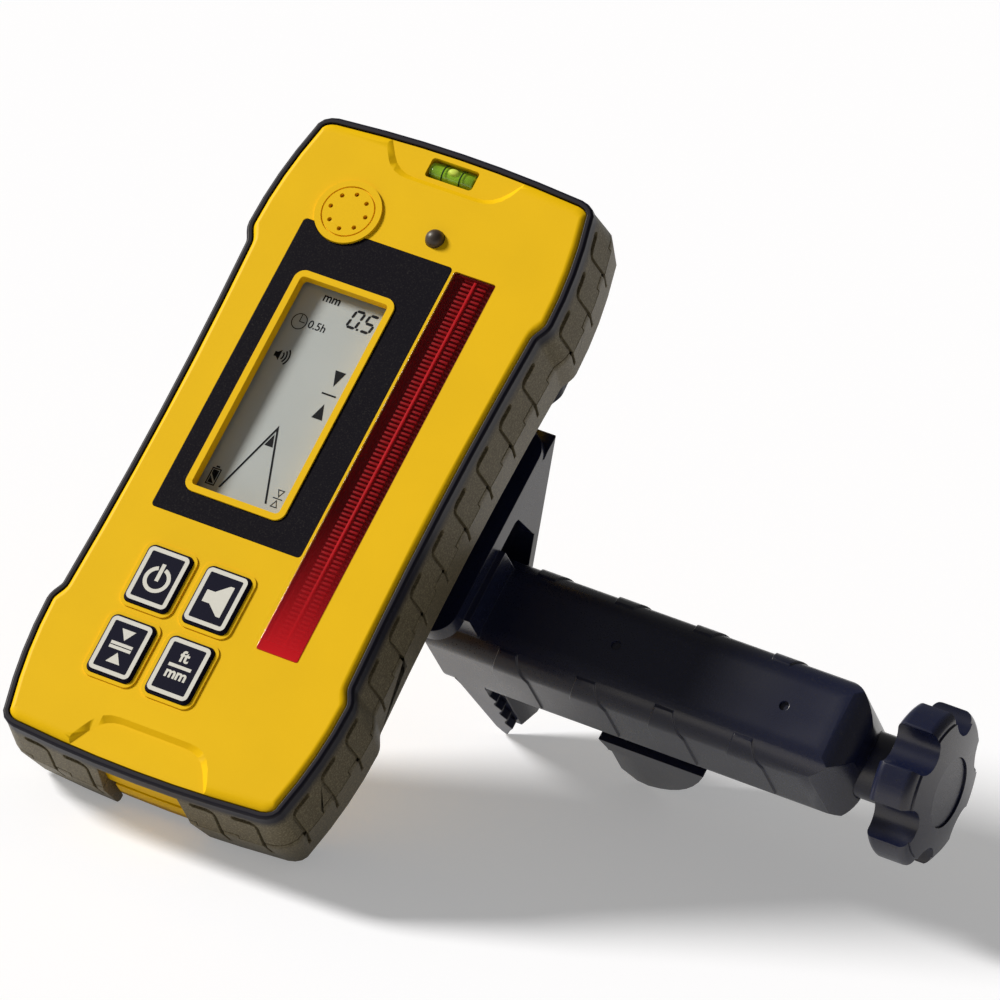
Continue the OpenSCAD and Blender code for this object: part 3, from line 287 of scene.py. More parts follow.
class Finish:
    """The nodes of a material or of the world."""

    def __init__(self, owner):
        self.owner = owner
        owner.use_nodes = True
        self.tree = owner.node_tree
        self.tree.nodes.clear()

    def node(self, kind, settings=None, sockets=None, output=0):
        """Adds a node, sets it up, fills its sockets and returns one of its outputs, if it has any."""
        made = self.tree.nodes.new(kind)
        for name, setting in (settings or {}).items():
            setattr(made, name, setting)
        for name, given in (sockets or {}).items():
            if isinstance(given, Value):
                self.tree.links.new(given.socket, made.inputs[name])
            else:
                made.inputs[name].default_value = given
        return Value(self, made.outputs[output]) if made.outputs else None

    def place(self):
        return self.node("ShaderNodeTexCoord", output="Object")

    def along(self, axis):
        """Place along an axis."""
        sockets = {0: self.place(), 1: axis}
        return self.node("ShaderNodeVectorMath", {"operation": "DOT_PRODUCT"}, sockets, output="Value")

    def depth(self):
        """Distance behind the receiver's face."""
        return FACE.translation.dot(OUT) - self.along(OUT)

    def noise(self, grain, detail=2.0, rough=0.5):
        """Noise whose patches are about one grain across, in metres."""
        sockets = {"Vector": self.place(), "Scale": 1 / grain, "Detail": detail, "Roughness": rough}
        return self.node("ShaderNodeTexNoise", {"noise_dimensions": "3D"}, sockets)

    def ramp(self, value, low, high, start=0.0, end=1.0):
        """Goes evenly from a start to an end while a value goes from low to high."""
        return self.node("ShaderNodeMapRange", None, dict(enumerate((value, low, high, start, end))))

    def blend(self, share, first, second):
        """Colour between two colours."""
        ends = [c if isinstance(c, Value) else (*c, 1.0) for c in (first, second)]
        settings = {"data_type": "RGBA", "blend_type": "MIX"}
        return self.node("ShaderNodeMix", settings, {0: share, 6: ends[0], 7: ends[1]}, output=2)

    def varied(self, share, base, low, high):
        """Colour between two shades of one base."""
        return self.blend(share, shifted(base, low), shifted(base, high))

    def bump(self, height, depth, strength):
        return self.node("ShaderNodeBump", None, {"Height": height, "Distance": depth, "Strength": strength})

    def surface(self, **sockets):
        """Closes a material with a plain surface shader."""
        named = {k.replace("_", " "): v for k, v in sockets.items()}
        shade = self.node("ShaderNodeBsdfPrincipled", None, named)
        self.node("ShaderNodeOutputMaterial", None, {"Surface": shade})
        return self.owner


def new_finish(name):
    return Finish(bpy.data.materials.new(name))


def shifted(base, factor):
    """A lighter or darker shade of a colour."""
    return tuple(min(1.0, c * factor) for c in base)


# Finishes

TURNING_MARKS = (9000, 700, 700)  # marks per metre along each axis
TRACKS = 260  # cells of the board's pattern per metre
TRACK_EDGE = 0.35  # share of a cell that is bare track
BRIGHT_END_SHARE = 0.38  # share of the sensor window, from its lower end, that is brighter and less clear


def yellow_moulding(name, rim=None):
    """Satin yellow plastic with a fine grain, and a dark rim between two depths behind the face, which is painted
    shade.
    """
    finish = new_finish(name)
    cloud = finish.noise(18 * MM, detail=3)
    grain = finish.noise(0.32 * MM, rough=0.6)
    tint = finish.varied(cloud, colours().yellow, 0.94, 1.05)
    if rim:
        depth = finish.depth()
        # Painted shade: the rubber's dark colour between the two depths.
        tint = finish.blend((depth > rim[0]) * (depth < rim[1]), tint, colours().rubber)
    return finish.surface(
        Base_Color=tint, Roughness=0.40 + 0.10 * grain, Specular_IOR_Level=0.08,
        Normal=finish.bump(grain, depth=0.02 * MM, strength=0.35),
    )


def dull_black(name, base, grain_size, depth, rough, painted_glint, gloss):
    """Black moulding or rubber whose grain catches the light in specks: painted glints that are lighter in colour,
    and also glossier.
    """
    finish = new_finish(name)
    grain = finish.noise(grain_size, rough=0.65)
    cloud = finish.noise(14 * MM)
    glint_share = finish.ramp(grain, 0.54, 0.74, end=painted_glint)
    return finish.surface(
        # Painted glints mixed into the base colour where the grain peaks.
        Base_Color=finish.blend(glint_share, base, colours().painted_glint),
        Roughness=rough + 0.12 * cloud - 0.10 * glint_share,
        Specular_IOR_Level=gloss, Specular_Tint=(*colours().glint, 1.0),
        Normal=finish.bump(grain, depth, strength=0.5),
    )


def panel_grain():
    return dull_black(
        "panel_grain", colours().panel,
        grain_size=0.34 * MM, depth=0.04 * MM, rough=0.42, painted_glint=0.4, gloss=0.05,
    )


def key_rubber():
    return dull_black(
        "key_rubber", colours().key,
        grain_size=0.25 * MM, depth=0.015 * MM, rough=0.40, painted_glint=0.1, gloss=0.06,
    )


def clamp_nylon():
    return dull_black(
        "clamp_nylon", colours().clamp,
        grain_size=0.36 * MM, depth=0.02 * MM, rough=0.24, painted_glint=0.5, gloss=0.62,
    )


def dark_moulding():
    return dull_black(
        "dark_moulding", colours().dark,
        grain_size=0.5 * MM, depth=0.05 * MM, rough=0.35, painted_glint=0.3, gloss=0.5,
    )


def diode_resin():
    return dull_black(
        "diode_resin", colours().resin,
        grain_size=0.3 * MM, depth=0.01 * MM, rough=0.2, painted_glint=0.1, gloss=0.5,
    )


def bumper_rubber():
    """A smooth dark lip next to the cover, and fine grain on the tread, whose lighter olive colour is painted
    light: a painted sheen of the pale floor that the sides reflect.
    """
    finish = new_finish("bumper_rubber")
    sheen_and_grain = finish.ramp(finish.depth(), sizes().lip_depth, sizes().sheen_and_grain_depth)
    grain = finish.noise(0.42 * MM, rough=0.65)
    cloud = finish.noise(11 * MM, detail=3)
    glint_share = finish.ramp(grain, 0.45, 0.75)
    # Painted sheen on the tread, lighter still in painted glints of the grain.
    painted_sheen = finish.varied(glint_share, colours().sheen_and_grain, 0.75, 1.7)
    return finish.surface(
        Base_Color=finish.blend(sheen_and_grain, colours().rubber, painted_sheen),
        Roughness=0.38 + 0.06 * sheen_and_grain + 0.10 * cloud,
        Specular_IOR_Level=0.20, Specular_Tint=(*colours().rubber_glint, 1.0),
        Normal=finish.bump(grain * sheen_and_grain, depth=0.03 * MM, strength=0.5),
    )


def printed(name, base):
    """Ink with a slightly uneven tone."""
    finish = new_finish(name)
    cloud = finish.noise(0.8 * MM)
    tint = finish.varied(cloud, base, 0.95, 1.04)
    return finish.surface(Base_Color=tint, Roughness=0.45 + 0.1 * cloud, Specular_IOR_Level=0.1)


def turned_metal(name, base, rough):
    """Metal with fine marks of its turning."""
    finish = new_finish(name)
    lay = finish.node("ShaderNodeMapping", None, {"Vector": finish.place(), "Scale": TURNING_MARKS})
    marks = finish.node("ShaderNodeTexNoise", None, {"Vector": lay, "Scale": 1.0, "Detail": 2.0})
    return finish.surface(
        Base_Color=finish.varied(marks, base, 0.88, 1.06), Metallic=1.0, Roughness=rough + 0.14 * marks,
        Normal=finish.bump(marks, depth=0.01 * MM, strength=0.4),
    )


def clear_lens():
    """Thin clear window that lets the light through."""
    finish = new_finish("clear_lens")
    smudge = finish.noise(6 * MM)
    return finish.surface(
        Base_Color=(*colours().lens, 1.0), Roughness=0.05 + 0.05 * smudge, Alpha=0.03,
        Specular_IOR_Level=0.4,
    )


def red_window():
    """Tinted window over the ribs of the light guide, brighter and less clear towards its lower end."""
    finish = new_finish("red_window")
    base = colours().window
    cloud = finish.noise(5 * MM)
    low, high = reach("sensor_window", UP)
    bright_end = finish.ramp(finish.along(UP), low, low + BRIGHT_END_SHARE * (high - low), start=1.0, end=0.0)
    tint = finish.blend(bright_end, finish.varied(cloud, base, 0.15, 0.25), shifted(base, 1.8))
    return finish.surface(
        Base_Color=tint, Roughness=0.10 + 0.04 * cloud, Alpha=0.16 + 0.55 * bright_end * bright_end,
        Specular_IOR_Level=0.6,
    )


def red_guide(name, strength):
    """Red light guide seen through the window; the tray's darker copy of its red is painted shade and the spine's
    lighter copy a painted highlight.
    """
    finish = new_finish(name)
    cloud = finish.noise(2 * MM)
    tint = finish.varied(cloud, shifted(colours().window, strength), 0.8, 1.2)
    return finish.surface(Base_Color=tint, Roughness=0.5 + 0.1 * cloud, Specular_IOR_Level=0.12)


def display_glass():
    """Grey display with a soft clouding of its backing."""
    finish = new_finish("display_glass")
    tint = finish.varied(finish.noise(12 * MM), colours().display, 0.96, 1.05)
    return finish.surface(Base_Color=tint, Roughness=0.30 + 0.08 * finish.noise(0.25 * MM, detail=1))


def vial_glass():
    """Clear tube of the level."""
    finish = new_finish("vial_glass")
    cloud = finish.noise(2.5 * MM)
    return finish.surface(
        Base_Color=(*shifted(colours().vial, 0.8), 1.0), Roughness=0.04 + 0.04 * cloud, Alpha=0.22,
        Coat_Weight=1.0,
    )


def vial_liquid():
    """Tinted liquid that darkens towards the ends of its tube."""
    finish = new_finish("vial_liquid")
    base = colours().vial
    low, high = reach("level_vial", ACROSS)
    away = abs(finish.along(ACROSS) - middle((low, high)))
    shade = finish.ramp(away, sizes().vial_clear, (high - low) / 2)
    bright = finish.varied(finish.noise(1.5 * MM), base, 0.8, 1.2)
    tint = finish.blend(shade, bright, shifted(base, 0.35))
    return finish.surface(Base_Color=tint, Roughness=0.12, Coat_Weight=0.6)


def circuit_board():
    """Green solder mask with lighter tracks."""
    finish = new_finish("circuit_board")
    base = colours().board
    sockets = {"Vector": finish.place(), "Scale": TRACKS}
    cells = finish.node("ShaderNodeTexVoronoi", {"distance": "MANHATTAN"}, sockets)
    tint = finish.blend(cells > TRACK_EDGE, shifted(base, 1.5), base)
    return finish.surface(Base_Color=tint, Roughness=0.38)


def cell_jacket():
    """Printed jacket with a lighter band near one end."""
    finish = new_finish("cell_jacket")
    band = finish.along(ACROSS) > middle(reach("battery_cells", ACROSS)) + sizes().cell_band
    tint = finish.blend(band, colours().cell, colours().cell_band)
    return finish.surface(Base_Color=tint, Metallic=0.6, Roughness=0.30 + 0.1 * finish.noise(1.5 * MM))


# Modelling helpers

SHARP = 30  # degrees between faces past which an edge is rounded
SMOOTH = 35  # degrees between faces up to which an edge is shaded smooth
FLAT = 0.3  # degrees between faces up to which they are joined into one
SAME_POINT = 0.0005 * MM


def clear_choice():
    if bpy.context.object and bpy.context.object.mode != "OBJECT":
        bpy.ops.object.mode_set(mode="OBJECT")
    bpy.ops.object.select_all(action="DESELECT")


def choose(piece):
    clear_choice()
    piece.select_set(True)
    bpy.context.view_layer.objects.active = piece


class Editing:
    """Edit mode on one piece, with all of it selected at first."""

    def __init__(self, piece):
        self.piece = piece

    def __enter__(self):
        choose(self.piece)
        bpy.ops.object.mode_set(mode="EDIT")
        bpy.ops.mesh.select_all(action="SELECT")

    def __exit__(self, *problem):
        bpy.ops.object.mode_set(mode="OBJECT")


def coat(piece, material):
    piece.data.materials.clear()
    piece.data.materials.append(material)
    for polygon in piece.data.polygons:
        polygon.material_index = 0


def coat_nodes(material, *nodes):
    """Gives solids that stay in view their finish."""
    for node in nodes:
        for slot in frame["nodes"][node].material_slots:
            slot.link = "OBJECT"
            slot.material = material


def dress(piece, body, material):
    """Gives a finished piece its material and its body."""
    coat(piece, material)
    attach(piece, body)
    return piece


def place_in_mesh(piece):
    choose(piece)
    bpy.ops.object.transform_apply(location=True, rotation=True, scale=True)
    return piece


def settle(piece, place):
    """Moves a piece into its place and leaves its object at the origin."""
    piece.matrix_world = place
    return place_in_mesh(piece)


def smooth(piece, angle=SMOOTH):
    choose(piece)
    bpy.ops.object.shade_smooth_by_angle(angle=math.radians(angle))


def copied(node, name, merge=0.002):
    """A copy of a solid whose points nearer than a distance in millimetres and flat triangles are merged."""
    piece = bpy.data.objects.new(name, frame["nodes"][node].data.copy())
    bpy.context.scene.collection.objects.link(piece)
    choose(piece)
    if piece.data.has_custom_normals:
        bpy.ops.mesh.customdata_custom_splitnormals_clear()
    with Editing(piece):
        bpy.ops.mesh.remove_doubles(threshold=merge * MM)
        bpy.ops.mesh.dissolve_limited(angle_limit=math.radians(FLAT))
    return piece


def modified(piece, kind, **settings):
    """Adds a modifier, sets it up and applies it."""
    choose(piece)
    bpy.ops.object.modifier_add(type=kind)
    modifier = piece.modifiers[-1]
    for name, setting in settings.items():
        setattr(modifier, name, setting)
    bpy.ops.object.modifier_apply(modifier=modifier.name)
    return piece


def rounded(piece, edge, rounds=2, full=False):
    """Rounds sharp edges, in full or as far as the finest detail lets them, and shades flats flat."""
    modified(
        piece, "BEVEL", width=edge, segments=rounds, limit_method="ANGLE", angle_limit=math.radians(SHARP),
        use_clamp_overlap=not full,
    )
    smooth(piece)
    return modified(piece, "WEIGHTED_NORMAL", keep_sharp=True, weight=100)


def softened(node, name, edge, material, rounds=2, full=False, merge=0.002):
    """A copy of a solid with rounded edges that stands for it."""
    piece = rounded(copied(node, name, merge), edge, rounds, full)
    dress(piece, BODY_OF[node], material)
    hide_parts(node)
    return piece


def started(name, add, **settings):
    """A primitive to model a piece from, with its place in its mesh."""
    clear_choice()
    add(**settings)
    piece = bpy.context.object
    piece.name = name
    return place_in_mesh(piece)


def block(name, low, high, edge):
    """A block with rounded edges between two corners."""
    low, high = Vector(low), Vector(high)
    piece = started(
        name, bpy.ops.mesh.primitive_cube_add, size=1, location=(low + high) / 2, scale=high - low,
    )
    with Editing(piece):
        bpy.ops.mesh.bevel(offset=edge, segments=2, affect="EDGES")
    return piece


def meshed(piece, name, place):
    """Makes a flat curve or lettering a mesh and moves it into its place."""
    choose(piece)
    bpy.ops.object.convert(target="MESH")
    made = bpy.context.object
    made.name = name
    with Editing(made):
        bpy.ops.mesh.remove_doubles(threshold=SAME_POINT)
        bpy.ops.mesh.normals_make_consistent(inside=False)
    return settle(made, place)


def flat_piece(name, loops, height, place):
    """A thin plate drawn by closed loops of points in millimetres; inner loops are holes."""
    drawing = bpy.data.curves.new(name, "CURVE")
    drawing.dimensions = "2D"
    drawing.fill_mode = "BOTH"
    drawing.extrude = height / 2
    for loop in loops:
        spline = drawing.splines.new("POLY")
        spline.points.add(len(loop) - 1)
        for point, (x, y) in zip(spline.points, loop):
            point.co = (x * MM, y * MM, 0, 1)
        spline.use_cyclic_u = True
    piece = bpy.data.objects.new(name, drawing)
    bpy.context.scene.collection.objects.link(piece)
    return meshed(piece, name, place)


def lettered_piece(name, words, size, height, place, bold):
    """Short generic lettering as a thin plate, centred on its place; size and bold are in millimetres."""
    clear_choice()
    bpy.ops.object.text_add()
    piece = bpy.context.object
    piece.data.body = words
    piece.data.size = size * MM
    piece.data.extrude = height / 2
    piece.data.offset = bold * MM
    piece.data.align_x = "CENTER"
    piece.data.align_y = "CENTER"
    return meshed(piece, name, place)


def joined(name, pieces):
    choose(pieces[0])
    for piece in pieces[1:]:
        piece.select_set(True)
    bpy.ops.object.join()
    piece = bpy.context.object
    piece.name = name
    piece.data.name = name
    return piece


def shift(x, y):
    """A move in the plane of a face, in millimetres."""
    return Matrix.Translation((x * MM, y * MM, 0))


# Outlines of signs, in millimetres


def arc(x, y, r, start, end, count):
    angles = [math.radians(start + (end - start) * i / count) for i in range(count + 1)]
    return [(x + r * math.cos(a), y + r * math.sin(a)) for a in angles]


def circle(x, y, r, count=40):
    return arc(x, y, r, 0, 360 - 360 / count, count - 1)


def ring(x, y, r, w):
    return [circle(x, y, r), circle(x, y, r - w)]


def arc_band(x, y, r, w, start, end, count=28):
    return arc(x, y, r, start, end, count) + arc(x, y, r - w, end, start, count)


def box(x0, y0, x1, y1):
    return [(x0, y0), (x1, y0), (x1, y1), (x0, y1)]


def centred_box(x, y, w, h):
    return box(x - w / 2, y - h / 2, x + w / 2, y + h / 2)


def round_box(w, h, r, count=6):
    points = []
    for sx, sy, start in ((1, 1, 0), (-1, 1, 90), (-1, -1, 180), (1, -1, 270)):
        points += arc(sx * (w / 2 - r), sy * (h / 2 - r), r, start, start + 90, count)
    return points


def arrow(x, y, w, h):
    """Triangle on its base's middle; a negative height points it down."""
    return [(x - w / 2, y), (x + w / 2, y), (x, y + h)]


def moved(x, y, points):
    return [(x + px, y + py) for px, py in points]


SEGMENTS = {
    "top": (0, 1, 1, 1), "middle": (0, 0.5, 1, 0.5), "bottom": (0, 0, 1, 0),
    "high_left": (0, 0.5, 0, 1), "high_right": (1, 0.5, 1, 1),
    "low_left": (0, 0, 0, 0.5), "low_right": (1, 0, 1, 0.5),
}
DIGITS = {
    0: ("top", "high_left", "high_right", "low_left", "low_right", "bottom"),
    5: ("top", "high_left", "middle", "low_right", "bottom"),
}


def digit(number, x, y, w, h, line, slant=0.18):
    """Seven-segment digit of pointed bars with its lower left corner at x and y."""
    loops = []
    for name in DIGITS[number]:
        x0, y0, x1, y1 = SEGMENTS[name]
        a, b = Vector((x0 * w, y0 * h)), Vector((x1 * w, y1 * h))
        along = (b - a).normalized()
        side = Vector((-along.y, along.x)) * line / 2
        tip, shoulder = along * line * 0.14, along * line * 0.64
        right = [a + shoulder - side, b - shoulder - side]
        left = [b - shoulder + side, a + shoulder + side]
        loop = [a + tip, *right, b - tip, *left]
        loops.append([(x + p.x + slant * p.y, y + p.y) for p in loop])
    return loops


def number_sign(x, y):
    """The number 0.5 with its lower left corner at x and y."""
    width, height, line, pitch = 2.4, 4.4, 0.68, 3.9
    point = box(x + 2.85, y - 0.3, x + 3.4, y + 0.25)
    return digit(0, x, y, width, height, line) + digit(5, x + pitch, y, width, height, line) + [point]


def clock_sign(x, y):
    radius, rim, hand = 2.1, 0.22, 0.2
    minutes = box(x - hand / 2, y, x + hand / 2, y + 1.8)
    hours = box(x, y - hand / 2, x + 1.5, y + hand / 2)
    return ring(x, y, radius, rim) + [minutes, hours]


def sounder_sign(x, y):
    """Loudspeaker and three waves."""
    horn = [(-1.2, -0.6), (-0.5, -0.6), (0.4, -1.4), (0.4, 1.4), (-0.5, 0.6), (-1.2, 0.6)]
    return [moved(x, y, horn)] + [arc_band(x, y, r, 0.38, -42, 42, 12) for r in (1.5, 2.3, 3.1)]


def aim_sign(x, y):
    """Level line between two arrows that point at it."""
    return [arrow(x, y + 6.3, 3.0, -4.0), centred_box(x, y, 4.0, 0.42), arrow(x + 0.1, y - 6.5, 3.0, 4.0)]


def beam_sign(x, y):
    """Two legs that spread from a tip, with an arrow between them."""
    foot, drop, line, notch = 6.9, 19.0, 0.53, 1.475
    legs = [(-foot, -drop), (0, 0), (foot, -drop), (foot - line, -drop), (0, -notch), (line - foot, -drop)]
    return [moved(x, y, legs), arrow(x, y - 5.6, 2.3, 3.2)]


def battery_sign(x, y):
    """Battery with a slanting level."""
    shell = [centred_box(x, y, 2.6, 4.4), centred_box(x, y, 2.0, 3.8), centred_box(x, y + 2.6, 1.0, 0.4)]
    low = [(-0.8, -1.7), (0.8, -1.7), (-0.8, 0.1)]
    high = [(0.8, -1.1), (0.8, 1.7), (-0.8, 1.7), (-0.8, 0.7)]
    return shell + [moved(x, y, low), moved(x, y, high)]


def band_sign(x, y):
    """Line between two open arrows that point at it."""
    loops = []
    for side in (1, -1):
        base, tip = y + side * 2.3, side * -2.0
        loops += [arrow(x, base, 2.0, tip), arrow(x, base - side * 0.22, 1.3, tip * 0.65)]
    return loops + [centred_box(x, y, 2.6, 0.24)]


# Pieces


class RECEIVER_OT_housing(bpy.types.Operator):
    """Yellow cover, back housing and battery door"""

    bl_idname = "receiver.housing"
    bl_label = "Housing"

    def execute(self, context):
        size = sizes()
        yellow = yellow_moulding("yellow_moulding")
        # Painted shade on the back shell's side between the bumper and the clamp, where it lies in shadow.
        rim = -span("rear_bumper")[0].z - size.painted_shade_lead, -span("rear_housing")[0].z - size.painted_shade_tail
        shade_painted_yellow = yellow_moulding("yellow_with_painted_shade", rim)
        softened("front_cover", "cover_moulding", size.cover_edge, yellow, rounds=3)
        softened("rear_housing", "back_moulding", size.cover_edge, shade_painted_yellow)
        softened("battery_door", "door_moulding", size.cover_edge, yellow)
        return {"FINISHED"}


class RECEIVER_OT_bumpers(bpy.types.Operator):
    """Rubber bumpers round the receiver, and its seals"""

    bl_idname = "receiver.bumpers"
    bl_label = "Bumpers"

    def execute(self, context):
        black = bumper_rubber()
        for node in ("front_bumper", "rear_bumper"):
            softened(node, node + "_rubber", sizes().rubber_edge, black, full=True)
        coat_nodes(black, "cover_gasket", "door_seal", "keypad_mat")
        return {"FINISHED"}


class RECEIVER_OT_display(bpy.types.Operator):
    """Panel, displays and the marks they show"""

    bl_idname = "receiver.display"
    bl_label = "Display"

    # Draws the marks closer together, to fit the part of the display that is in view
    mark_fit = Matrix.Diagonal((0.92, 0.977, 1, 1))

    def execute(self, context):
        size = sizes()
        softened("display_panel", "panel_moulding", size.fine_edge, panel_grain())
        coat_nodes(clear_lens(), "display_lens", "rear_display_lens")
        coat_nodes(display_glass(), "lcd_module", "rear_lcd_module")
        ink = printed("display_mark", colours().mark)
        self.front_marks(size, ink)
        self.rear_marks(size, ink)
        return {"FINISHED"}

    def front_marks(self, size, ink):
        """Signs and lettering on the display in the face."""
        low, high = span("lcd_module")
        corner = Vector((low.x + size.mark_margin, high.y - size.mark_margin, 0))
        lift = Vector((0, 0, high.z + size.mark_height))
        place = FACE @ Matrix.Translation(corner + lift) @ self.mark_fit @ Matrix.Translation(-corner)
        loops = number_sign(-5.8, 35.1) + clock_sign(-17.7, 32.4) + sounder_sign(-18.4, 23.0)
        loops += aim_sign(-1.1, 17.7) + beam_sign(-9.1, 6.6)
        loops += battery_sign(-18.5, -10.4) + band_sign(-0.2, -10.3)
        thin = size.mark_height
        signs = flat_piece("display_signs", loops, thin, place)
        unit = lettered_piece("unit_sign", "mm", 3.2, thin, place @ shift(-12.5, 40.1), bold=0.06)
        hours = lettered_piece("hour_sign", "0.5h", 2.9, thin, place @ shift(-12.7, 32.5), bold=0.02)
        dress(joined("display_marks", [signs, unit, hours]), "receiver", ink)

    def rear_marks(self, size, ink):
        """Level arrows on the small display at the back."""
        low, high = span("rear_lcd_module")
        centre = (middle((low.x, high.x)), middle((low.y, high.y)), low.z - size.mark_height)
        place = FACE @ Matrix.Translation(centre) @ Matrix.Rotation(math.pi, 4, "Y")
        loops = [arrow(-8, -2.6, 5, 5.2), centred_box(0, 0, 5.2, 1.0), arrow(8, 2.6, 5, -5.2)]
        piece = flat_piece("rear_display_marks", loops, size.mark_height, place)
        dress(piece, "receiver", ink)


class RECEIVER_OT_sensor(bpy.types.Operator):
    """Red sensor window and the ribbed light guide behind it"""

    bl_idname = "receiver.sensor"
    bl_label = "Sensor window"

    rib_share = 0.5  # width of a rib, as a share of the ribs' pitch
    rib_top = 0.6  # depth of the ribs' tops, as a share of the window's depth
    spine_share = 0.8  # width of the bright strip, as a share of the gap between the ribs
    spine_top = 0.45  # depth of the strip's top, as a share of the window's depth

    def execute(self, context):
        size = sizes()
        low, high = span("sensor_window")
        self.pane(size, high.z)
        self.tray(size, high.z)
        self.ribs(size, low, high)
        self.spine(size, low, high)
        return {"FINISHED"}

    @staticmethod
    def stand_for_window(piece, material):
        dress(piece, "receiver", material)
        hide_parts("sensor_window")

    def cut(self, name, level, keep_top):
        """Copy of the window's solid, cut across at a level of the receiver's frame."""
        piece = copied("sensor_window", name)
        with Editing(piece):
            bpy.ops.mesh.bisect(
                plane_co=FACE @ Vector((0, 0, level)), plane_no=OUT, use_fill=True,
                clear_inner=keep_top, clear_outer=not keep_top,
            )
        return piece

    def pane(self, size, top):
        """Clear skin of the window."""
        piece = self.cut("window_pane", top - size.pane_thickness, keep_top=True)
        self.stand_for_window(rounded(piece, size.fine_edge), red_window())

    def tray(self, size, top):
        """Open tray behind the clear skin."""
        level = top - size.pane_thickness - size.pane_gap
        piece = self.cut("window_tray", level, keep_top=False)
        with Editing(piece):
            bpy.ops.mesh.select_mode(type="FACE")
            bpy.ops.mesh.select_all(action="DESELECT")
        for polygon in piece.data.polygons:
            faces_out = polygon.normal.dot(OUT) > 0.99
            polygon.select = faces_out and (TO_FACE @ polygon.center).z > level - 0.01 * MM
        bpy.ops.object.mode_set(mode="EDIT")
        bpy.ops.mesh.inset(thickness=size.tray_wall)
        sink = OUT * (top - size.window_depth - level)
        bpy.ops.mesh.extrude_region_move(TRANSFORM_OT_translate={"value": sink})
        with Editing(piece):
            bpy.ops.mesh.normals_make_consistent(inside=False)
        smooth(piece, 20)
        # Painted shade: the tray between the ribs is a darker copy of the guide's red.
        self.stand_for_window(piece, red_guide("red_tray_painted_shade", 0.45))

    def ribs(self, size, low, high):
        """Two rows of ribs on the tray's floor."""
        count = int((high.y - low.y - 2 * size.rib_margin) / size.rib_pitch)
        start = middle((low.y, high.y)) - count * size.rib_pitch / 2
        end = start + size.rib_pitch * self.rib_share
        floor, top = high.z - size.window_depth, high.z - size.window_depth * self.rib_top
        x = middle((low.x, high.x))
        rows = []
        for side in (-1, 1):
            left, right = sorted((side * size.rib_gap, side * (size.rib_gap + size.rib_length)))
            rib = block("rib", (x + left, start, floor), (x + right, end, top), size.rib_edge)
            rows.append(modified(
                rib, "ARRAY", count=count, use_relative_offset=False, use_constant_offset=True,
                constant_offset_displace=(0, size.rib_pitch, 0),
            ))
        piece = settle(joined("window_ribs", rows), FACE)
        smooth(piece)
        self.stand_for_window(piece, red_guide("red_ribs", 1.15))

    def spine(self, size, low, high):
        """Strip between the two rows of ribs, whose bright red is a painted highlight."""
        x, half = middle((low.x, high.x)), size.rib_gap * self.spine_share
        foot = (x - half, low.y + size.spine_margin, high.z - size.window_depth)
        head = (x + half, high.y - size.spine_margin, high.z - size.window_depth * self.spine_top)
        piece = settle(block("window_spine", foot, head, size.spine_edge), FACE)
        smooth(piece)
        # Painted highlight: the strip is a lighter copy of the guide's red.
        self.stand_for_window(piece, red_guide("red_spine_painted_highlight", 2.1))


class RECEIVER_OT_keys(bpy.types.Operator):
    """Keys with their pale rings and signs"""

    bl_idname = "receiver.keys"
    bl_label = "Keys"

    units = {"ft": (3.8, 2.9), "mm": (3.6, -1.5)}  # size of the letters and their place up the key
    horn = [
        (-3.0, -1.5), (-3.0, 1.5), (-1.0, 1.5), (1.9, 3.9),
        (2.9, 3.9), (2.9, -3.9), (1.9, -3.9), (-1.0, -1.5),
    ]
    signs = {
        "key_power": [arc_band(0, -0.5, 3.3, 0.95, 108, 432), box(-0.47, -0.9, 0.47, 3.5)],
        "key_sound": [horn],
        "key_band": [
            arrow(0, 4.4, 3.6, -2.7), box(-2.8, 0.25, 2.8, 1.0), box(-2.8, -0.75, 2.8, 0.0),
            arrow(0, -4.1, 3.6, 2.7),
        ],
        "key_units": [box(-2.9, 0.05, 2.9, 0.85)],
    }

    def execute(self, context):
        size = sizes()
        black = key_rubber()
        ink = printed("key_print", colours().printing)
        for node, loops in self.signs.items():
            softened(node, node + "_cap", size.key_edge, black, rounds=3)
            low, high = span(node)
            top = FACE @ Matrix.Translation((middle((low.x, high.x)), middle((low.y, high.y)), high.z))
            thin = size.print_height
            marks = [flat_piece(node + "_sign", self.rim(size, high - low) + loops, thin, top)]
            if node == "key_units":
                for words, (letter, y) in self.units.items():
                    place = top @ shift(0, y)
                    marks.append(lettered_piece("unit_" + words, words, letter, thin, place, bold=0.12))
            dress(joined(node + "_print", marks), node, ink)
        return {"FINISHED"}

    def rim(self, size, room):
        """Ring round a key's sign."""
        margin = 2 * (size.ring_inset + size.key_slope)
        w, h = (room.x - margin) / MM, (room.y - margin) / MM
        lines = 2 * size.ring_width / MM
        outer = round_box(w, h, size.ring_round / MM)
        inner = round_box(w - lines, h - lines, size.ring_hole_round / MM)
        return [outer, inner]


